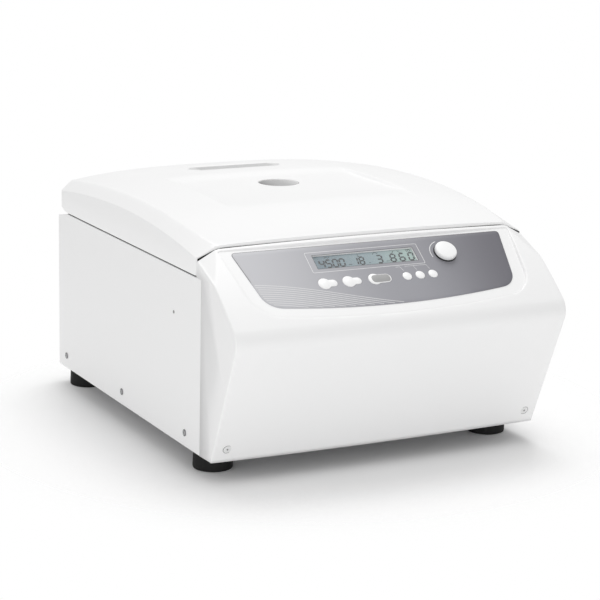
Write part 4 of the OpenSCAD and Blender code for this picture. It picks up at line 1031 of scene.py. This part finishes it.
def cross_head(shape, placement, radius, height):
    """A domed screw head with a cross recess."""
    profile = [(0.001, -0.5), (radius, -0.5), (radius, 0.15 * height), (0.93 * radius, 0.5 * height),
               (0.72 * radius, 0.82 * height), (0.4 * radius, 0.97 * height), (0.001, height)]
    blank = Shape().lathe(profile, Matrix.Identity(4), 32)
    arm = 0.6 * radius
    width = 0.16 * radius
    bars = Shape()
    levels = [(0.1 * radius, height * 0.25), (0, height + 1)]
    for half_x, half_y in ((arm, width), (width, arm)):
        bars.slab(rectangle(half_x, half_y), levels, Matrix.Identity(4))
    cut = subtract(clean_mesh(blank.points, blank.faces, 0.01), clean_mesh(bars.points, bars.faces, 0.001))
    shape.add([v.co for v in cut.vertices], [list(f.vertices) for f in cut.polygons], placement)


def subtract(solid, cutter):
    """The first mesh with the second cut out of it."""
    objects = []
    for name, mesh in (("solid", solid), ("cutter", cutter)):
        data = bpy.data.meshes.new(name)
        mesh.to_mesh(data)
        mesh.free()
        obj = bpy.data.objects.new(name, data)
        SCENE.collection.objects.link(obj)
        objects.append(obj)
    blank, tool = objects
    cut = blank.modifiers.new("cut", "BOOLEAN")
    cut.operation = "DIFFERENCE"
    cut.solver = "EXACT"
    cut.use_self = True
    cut.object = tool
    graph = bpy.context.evaluated_depsgraph_get()
    result = bpy.data.meshes.new_from_object(blank.evaluated_get(graph))
    for obj in objects:
        bpy.data.objects.remove(obj)
    return result


def cross_shadow(shape, placement, arm, width, height):
    """Painted shadow: a dark layer low in a cross recess, where shade falls."""
    for half_x, half_y in ((arm, width), (width, arm)):
        shape.slab(rectangle(half_x, half_y), [(0, height - 0.2), (0, height)], placement)


def case_screws(steel, paint, dark):
    """Cross-head screws in the sides, round heads low on the front, and the screws in the feet."""
    shape = Shape()
    # Painted shadow: dark crosses in the recesses and dark rings round the heads of the side and front
    # screws.
    shadow_shape = Shape()
    for side in SIDES:
        for y in SIDE_SCREW_YS:
            shape.lathe([(0.001, 0.0), (4.0, 0.0), (4.0, 0.5), (3.7, 0.8), (0.001, 0.8)],
                        facing(side * HALF_W, y, SIDE_SCREW_Z, (side, 0, 0)), 32)
            head = facing(side * (HALF_W + 0.6), y, SIDE_SCREW_Z, (side, 0, 0))
            cross_head(shape, head, 3.4, 1.15)
            cross_shadow(shadow_shape, head, 2.0, 0.5, 0.75)
            # Painted shadow: a dark ring under the rim of the side screw's head.
            shadow_shape.lathe([(3.45, 0.15), (3.95, 0.15), (3.95, 0.3), (3.45, 0.3), (3.45, 0.15)], head, 32)
    for x in (-FOOT_X, FOOT_X):
        for y in FOOT_YS:
            cross_head(shape, facing(x, y, -11.0, (0, 0, -1)), FOOT_RECESS_R - 0.7, 2.0)
    shape.piece("side_screws", "case", steel, ["case_screws"])
    front = Shape()
    foot_y = FRONT_SCREW_Z / math.tan(FOOT_ANGLE)
    normal = (0, math.cos(FOOT_ANGLE + math.pi / 2), math.sin(FOOT_ANGLE + math.pi / 2))
    for side in SIDES:
        place = bowed(side * FRONT_SCREW_X, foot_y, FRONT_SCREW_Z)
        head = facing(*place, normal)
        cross_head(front, head, 5.0, 0.45)
        cross_shadow(shadow_shape, head, 1.2, 0.35, 0.42)
        # Painted shadow: a dark ring round the front screw's head.
        shadow_shape.lathe([(5.05, -0.3), (5.4, -0.3), (5.4, 0.12), (5.05, 0.12), (5.05, -0.3)], head, 48)
    front.piece("front_screws", "case", paint)
    shadow_shape.piece("screw_painted_shadows", "case", dark)


def rubber_feet(material):
    """Round feet with a chamfered tread and a recess for the screw."""
    shape = Shape()
    low = -FOOT_H
    bore = FOOT_RECESS_R
    profile = [(bore, low + 14), (bore, low + 0.6), (bore + 0.6, low), (21.9, low), (23.0, low + 0.5),
               (23.4, low + 1.6), (23.3, low + 6), (22.9, low + 15), (22.4, -1.0), (21.8, -0.3), (20.5, 0.0),
               (3.2, 0.0), (3.2, low + 14), (bore, low + 14)]
    for x in (-FOOT_X, FOOT_X):
        for y in FOOT_YS:
            shape.lathe(profile, upright(x, y, 0), 72)
    return shape.piece("round_feet", "case", material, ["rubber_feet"])


def side_gap_shade_strips(material):
    """Dark strips on the deck, just inside the gap under the lid's side edges: painted shade, dark sheets
    that make the gaps read as dark lines.
    """
    shape = Shape()
    for low_x in (-213.4, 212.0):
        shape.block((low_x, LID_FRONT + 1, DECK_H),
                    (low_x + 1.4, CASE_D - REAR_FALL_LEN - 1, DECK_H + 1.3), None, 0.2)
    return shape.piece("side_gap_shade_strips", "case", material)


def deck_top(y):
    fall = max(y - (CASE_D - REAR_FALL_LEN), 0) / REAR_FALL_LEN
    return DECK_H - REAR_FALL * fall


def side_panels(material):
    """Painted side sheets with folded, rounded edges."""
    front_y = SIDE_SEAM_Y + 0.3
    outline = rounded([(front_y, 0), (CASE_D, 0), (CASE_D, deck_top(CASE_D)),
                       (CASE_D - REAR_FALL_LEN, DECK_H), (front_y, DECK_H)], 0.8)
    for side, name in zip(SIDES, ("left", "right")):
        shape = Shape()
        turn = Matrix(((0, 0, side, 0), (1, 0, 0, 0), (0, 1, 0, 0), (0, 0, 0, 1)))
        placement = Matrix.Translation((side * (HALF_W - SHEET_T), 0, 0)) @ turn
        holes = [circle(RELEASE_R + 0.15, 24, RELEASE_Y, RELEASE_Z)] if side < 0 else []
        shape.slab(outline, [(0.1, 0), (0, 0.1), (0, SHEET_T - 0.35), (0.1, SHEET_T - 0.1), (0.35, SHEET_T)],
                   placement, holes, rim=0.4)
        shape.piece(name + "_side_sheet", "case", material, [name + "_side_panel"])


def sight_window(glass):
    """Clear disc with a rounded rim in the lid's recess."""
    shape = Shape()
    top = lid_height(0, CHAMBER_Y) - 1.0
    profile = [(0.001, top - 2.6), (SIGHT_R - 0.4, top - 2.6), (SIGHT_R - 0.1, top - 2.3),
               (SIGHT_R - 0.1, top - 0.5), (SIGHT_R - 0.6, top), (0.001, top)]
    shape.lathe(profile, upright(0, CHAMBER_Y, 0), 96)
    shape.piece("sight_disc", "lid", glass, ["sight_glass"])


def air_grille(material):
    """Grille with many fine slots, set in the rear of the lid."""
    tilt = math.atan2(lid_height(0, GRILLE_Y + 8) - lid_height(0, GRILLE_Y - 8), 16)
    low = lid_height(GRILLE_HALF_W, GRILLE_Y)
    placement = upright(0, GRILLE_Y, low) @ Matrix.Rotation(tilt, 4, "X")
    shape = Shape()
    slots = []
    for x in spread(14 - GRILLE_HALF_W, GRILLE_HALF_W - 14, 46):
        slots.append(rounded(rectangle(0.5, GRILLE_HALF_D - 4, x, 0), 0.5, 3))
    levels = [(0.2, -2.0), (0, -1.8), (0, -0.3), (0.3, 0.0)]
    shape.slab(rounded(grille_outline(0), 1.5), levels, placement, slots)
    shape.piece("lid_grille", "lid", material, ["lid_air_grille"])


def polished(node, material, edge):
    """A CAD node that stays in view: its finish, with its edges rounded by a width."""
    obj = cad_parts[node]
    obj.data.materials.clear()
    obj.data.materials.append(material)
    obj.data.polygons.foreach_set("use_smooth", [True] * len(obj.data.polygons))
    weld = obj.modifiers.new("weld", "WELD")
    weld.merge_threshold = 0.000002
    bevel = obj.modifiers.new("edges", "BEVEL")
    bevel.width = edge * MM
    bevel.segments = 2
    bevel.limit_method = "ANGLE"
    bevel.angle_limit = math.radians(35)
    normals = obj.modifiers.new("flats", "WEIGHTED_NORMAL")
    normals.mode = "FACE_AREA"
    normals.weight = 90


def cad_finishes(finishes):
    """Finishes of the CAD nodes that stay in view, by finish and width of the rounded edges."""
    groups = {
        ("steel", 0.2): "base_pan knob_encoder inlet_pins",
        ("steel", 0.3): "hinge_pins lid_striker motor_bearings drive_shaft rotor_screws fan_guard",
        ("steel", 0.4): "latch_bolt",
        ("steel", 0.5): "lid_hinge_arms hinge_brackets",
        ("steel", 0.6): "rotor_nut",
        ("white", 0.2): "rear_panel",
        ("white", 0.3): "top_deck",
        ("black", 0.2): "display_module key_switches",
        ("black", 0.3): "switch_bezel fan_wheel",
        ("black", 0.4): "mains_inlet fan_frame",
        ("black", 0.5): "latch_housing latch_motor power_parts",
        ("gloss_black", 0.4): "power_switch",
        ("board", 0.2): "control_board power_board",
        ("liner", 0.3): "sight_tube",
        ("liner", 0.6): "lid_liner",
        ("rubber", 0.5): "bowl_boot",
        ("rubber", 0.6): "lid_bumpers motor_dampers",
        ("bowl", 0.2): "chamber_bowl",
        ("seal", 0.3): "chamber_gasket",
        ("primer", 0.4): "guard_ring",
        ("cast", 0.5): "motor_plate",
        ("cast", 0.8): "motor_housing",
        ("anodised", 0.5): "left_bucket right_bucket",
        ("anodised", 0.6): "rotor_hub rotor_arms",
        ("grille", 0.2): "release_plug",
    }
    for (finish, edge), nodes in groups.items():
        for node in nodes.split():
            polished(node, finishes[finish], edge)


def studio(target):
    """Pale floor, even light from all round, and soft lamps above, at the left and before the object."""
    floor_mesh = bpy.data.meshes.new("floor")
    floor_mesh.from_pydata([(x, y, 0) for x, y in rectangle(6.0, 6.0)], [], [(0, 1, 2, 3)])
    floor = bpy.data.objects.new("floor", floor_mesh)
    floor.location.z = -0.0002
    SCENE.collection.objects.link(floor)
    floor_mesh.materials.append(floor_finish())
    for name, place, size_x, size_y, power in (
            ("top", (0.35, 0.5, 2.1), 1.4, 1.4, 22), ("left", (-2.5, -0.5, 0.8), 1.6, 1.0, 4.5),
            ("front", (-0.9, -2.4, 0.25), 1.8, 0.5, 10)):
        light = bpy.data.lights.new(name, "AREA")
        light.shape = "RECTANGLE"
        light.size = size_x
        light.size_y = size_y
        light.energy = power
        obj = bpy.data.objects.new(name, light)
        obj.location = place
        obj.rotation_mode = "QUATERNION"
        obj.rotation_quaternion = (Vector(target) - Vector(place)).to_track_quat("-Z", "Y")
        SCENE.collection.objects.link(obj)
    world = bpy.data.worlds.new("room")
    SCENE.world = world
    world.use_nodes = True
    tree = world.node_tree
    back = tree.nodes["Background"]
    back.inputs["Color"].default_value = (1, 1, 1, 1)
    back.inputs["Strength"].default_value = 0.6
    seen = add_node(tree, "Background", Color=(1, 1, 1, 1), Strength=1.0)
    mix_surface(tree, (add_node(tree, "LightPath"), "Is Camera Ray"), back, seen, "World Output")
    SCENE.view_settings.view_transform = "Standard"


def floor_finish():
    """Pale floor that the camera sees give way to the plain background away from the object."""
    material, tree, shader = material_of("floor_pale", (0.97, 0.97, 0.97), 0.9)
    shader.inputs["Specular IOR Level"].default_value = 0.0
    length = add_node(tree, "VectorMath")
    length.operation = "LENGTH"
    remap = add_node(tree, "MapRange", From_Min=0.26, From_Max=0.48)
    remap.interpolation_type = "SMOOTHSTEP"
    seen = add_node(tree, "Math")
    seen.operation = "MULTIPLY"
    wire(tree, (add_node(tree, "TexCoord"), "Object", length, 0), (length, "Value", remap, "Value"),
         (remap, "Result", seen, 0), (add_node(tree, "LightPath"), "Is Camera Ray", seen, 1))
    mix_surface(tree, (seen, "Value"), shader, add_node(tree, "BsdfTransparent"))
    return material


def photo_camera():
    """The camera that took the photo, solved from the object's edges."""
    azimuth, pitch, roll = (math.radians(a) for a in (-27.51, 13.27, 1.21))
    level = math.cos(pitch)
    back = Vector((math.sin(azimuth) * level, -math.cos(azimuth) * level, math.sin(pitch)))
    level_x = Vector((0, 0, 1)).cross(back).normalized()
    level_y = back.cross(level_x)
    across = level_x * math.cos(roll) + level_y * math.sin(roll)
    up = level_y * math.cos(roll) - level_x * math.sin(roll)
    data = bpy.data.cameras.new("photo")
    data.sensor_width = 36
    data.lens = 124.64
    data.clip_start = 0.05
    data.clip_end = 50
    camera = bpy.data.objects.new("photo_camera", data)
    camera.matrix_world = Matrix.Translation((-1.1588, -2.22675, 0.7406)) @ Matrix(
        (across, up, back)).transposed().to_4x4()
    SCENE.collection.objects.link(camera)
    SCENE.camera = camera


def main():
    white = moulding("white_enamel_paint", grey(246), 0.42)
    front_white = moulding("front_moulding_white", grey(245), 0.4)
    lid_white = moulding("lid_gloss_white", grey(248), 0.32)
    key_white = moulding("key_white_plastic", grey(248), 0.35)
    rubber_black = rubber("black_rubber", 0.012)
    steel = metal("zinc_steel", (0.62, 0.62, 0.63), 0.35, (1, 1, 12))
    finishes = {
        "white": white,
        "steel": steel,
        "rubber": rubber_black,
        "black": moulding("black_plastic", (0.02, 0.02, 0.02), 0.5),
        "gloss_black": moulding("gloss_black_plastic", (0.015, 0.015, 0.015), 0.25),
        "board": moulding("circuit_board_green", (0.02, 0.12, 0.05), 0.4),
        "liner": moulding("liner_light_grey", grey(214), 0.5),
        "bowl": metal("bowl_stainless", (0.68, 0.68, 0.69), 0.28, (1, 1, 20)),
        "seal": rubber("seal_grey", 0.09, 0.6),
        "primer": moulding("grey_primer", (0.12, 0.13, 0.14), 0.6),
        "cast": metal("cast_aluminium", (0.5, 0.5, 0.5), 0.5),
        "anodised": metal("anodised_aluminium", (0.66, 0.67, 0.68), 0.38),
        "grille": moulding("grille_grey_plastic", grey(150), 0.5),
    }
    cad_finishes(finishes)
    front_panel(front_white)
    lid_shell(lid_white)
    side_panels(white)
    overlay = ramp_along("overlay_film_grey", [(0.0, tint(191, 191, 195)), (0.55, tint(151, 151, 157)),
                                               (1.0, tint(105, 104, 111))], -0.178, 0.178, 0.42)
    control_overlay(overlay)
    printed_lines(moulding("print_white", grey(232), 0.5))
    wave_lines(moulding("print_light", grey(220), 0.5))
    # Painted shade: dark grey for the lines round the film and round the display.
    overlay_painted_shade(moulding("painted_shade_dark_grey", grey(96), 0.5))
    # Painted shade: a dark strip that darkens the gap between the front panel and the lid.
    lid_gap_shade_strip(rubber_black)
    # Painted shade: dark strips that darken the gaps under the lid's sides.
    side_gap_shade_strips(rubber_black)
    # Painted shade: the screen's blue-grey darkens towards the left, for the shade of the window's edge.
    screen = ramp_along("screen_blue_grey_painted_shade", [(0.0, tint(108, 126, 136)), (0.5, tint(138, 156, 162)),
                                             (1.0, tint(162, 184, 178))], -0.08, 0.052, 0.35)
    display(clear("display_clear", (0.9, 0.93, 0.94), 0.06), screen,
            moulding("figures_dark", (0.003, 0.004, 0.006), 0.5))
    keys(key_white, moulding("start_pill_grey", grey(160), 0.45))
    knob(key_white, finishes["gloss_black"])
    case_screws(metal("screw_steel", (0.42, 0.42, 0.43), 0.3), moulding("screw_pale_paint", grey(232), 0.4),
                finishes["black"])
    rubber_feet(rubber_black)
    sight_window(sight_plastic())
    air_grille(moulding("air_grille_light_grey", grey(212), 0.5))
    studio((0, 0, 0.12))
    photo_camera()


main()
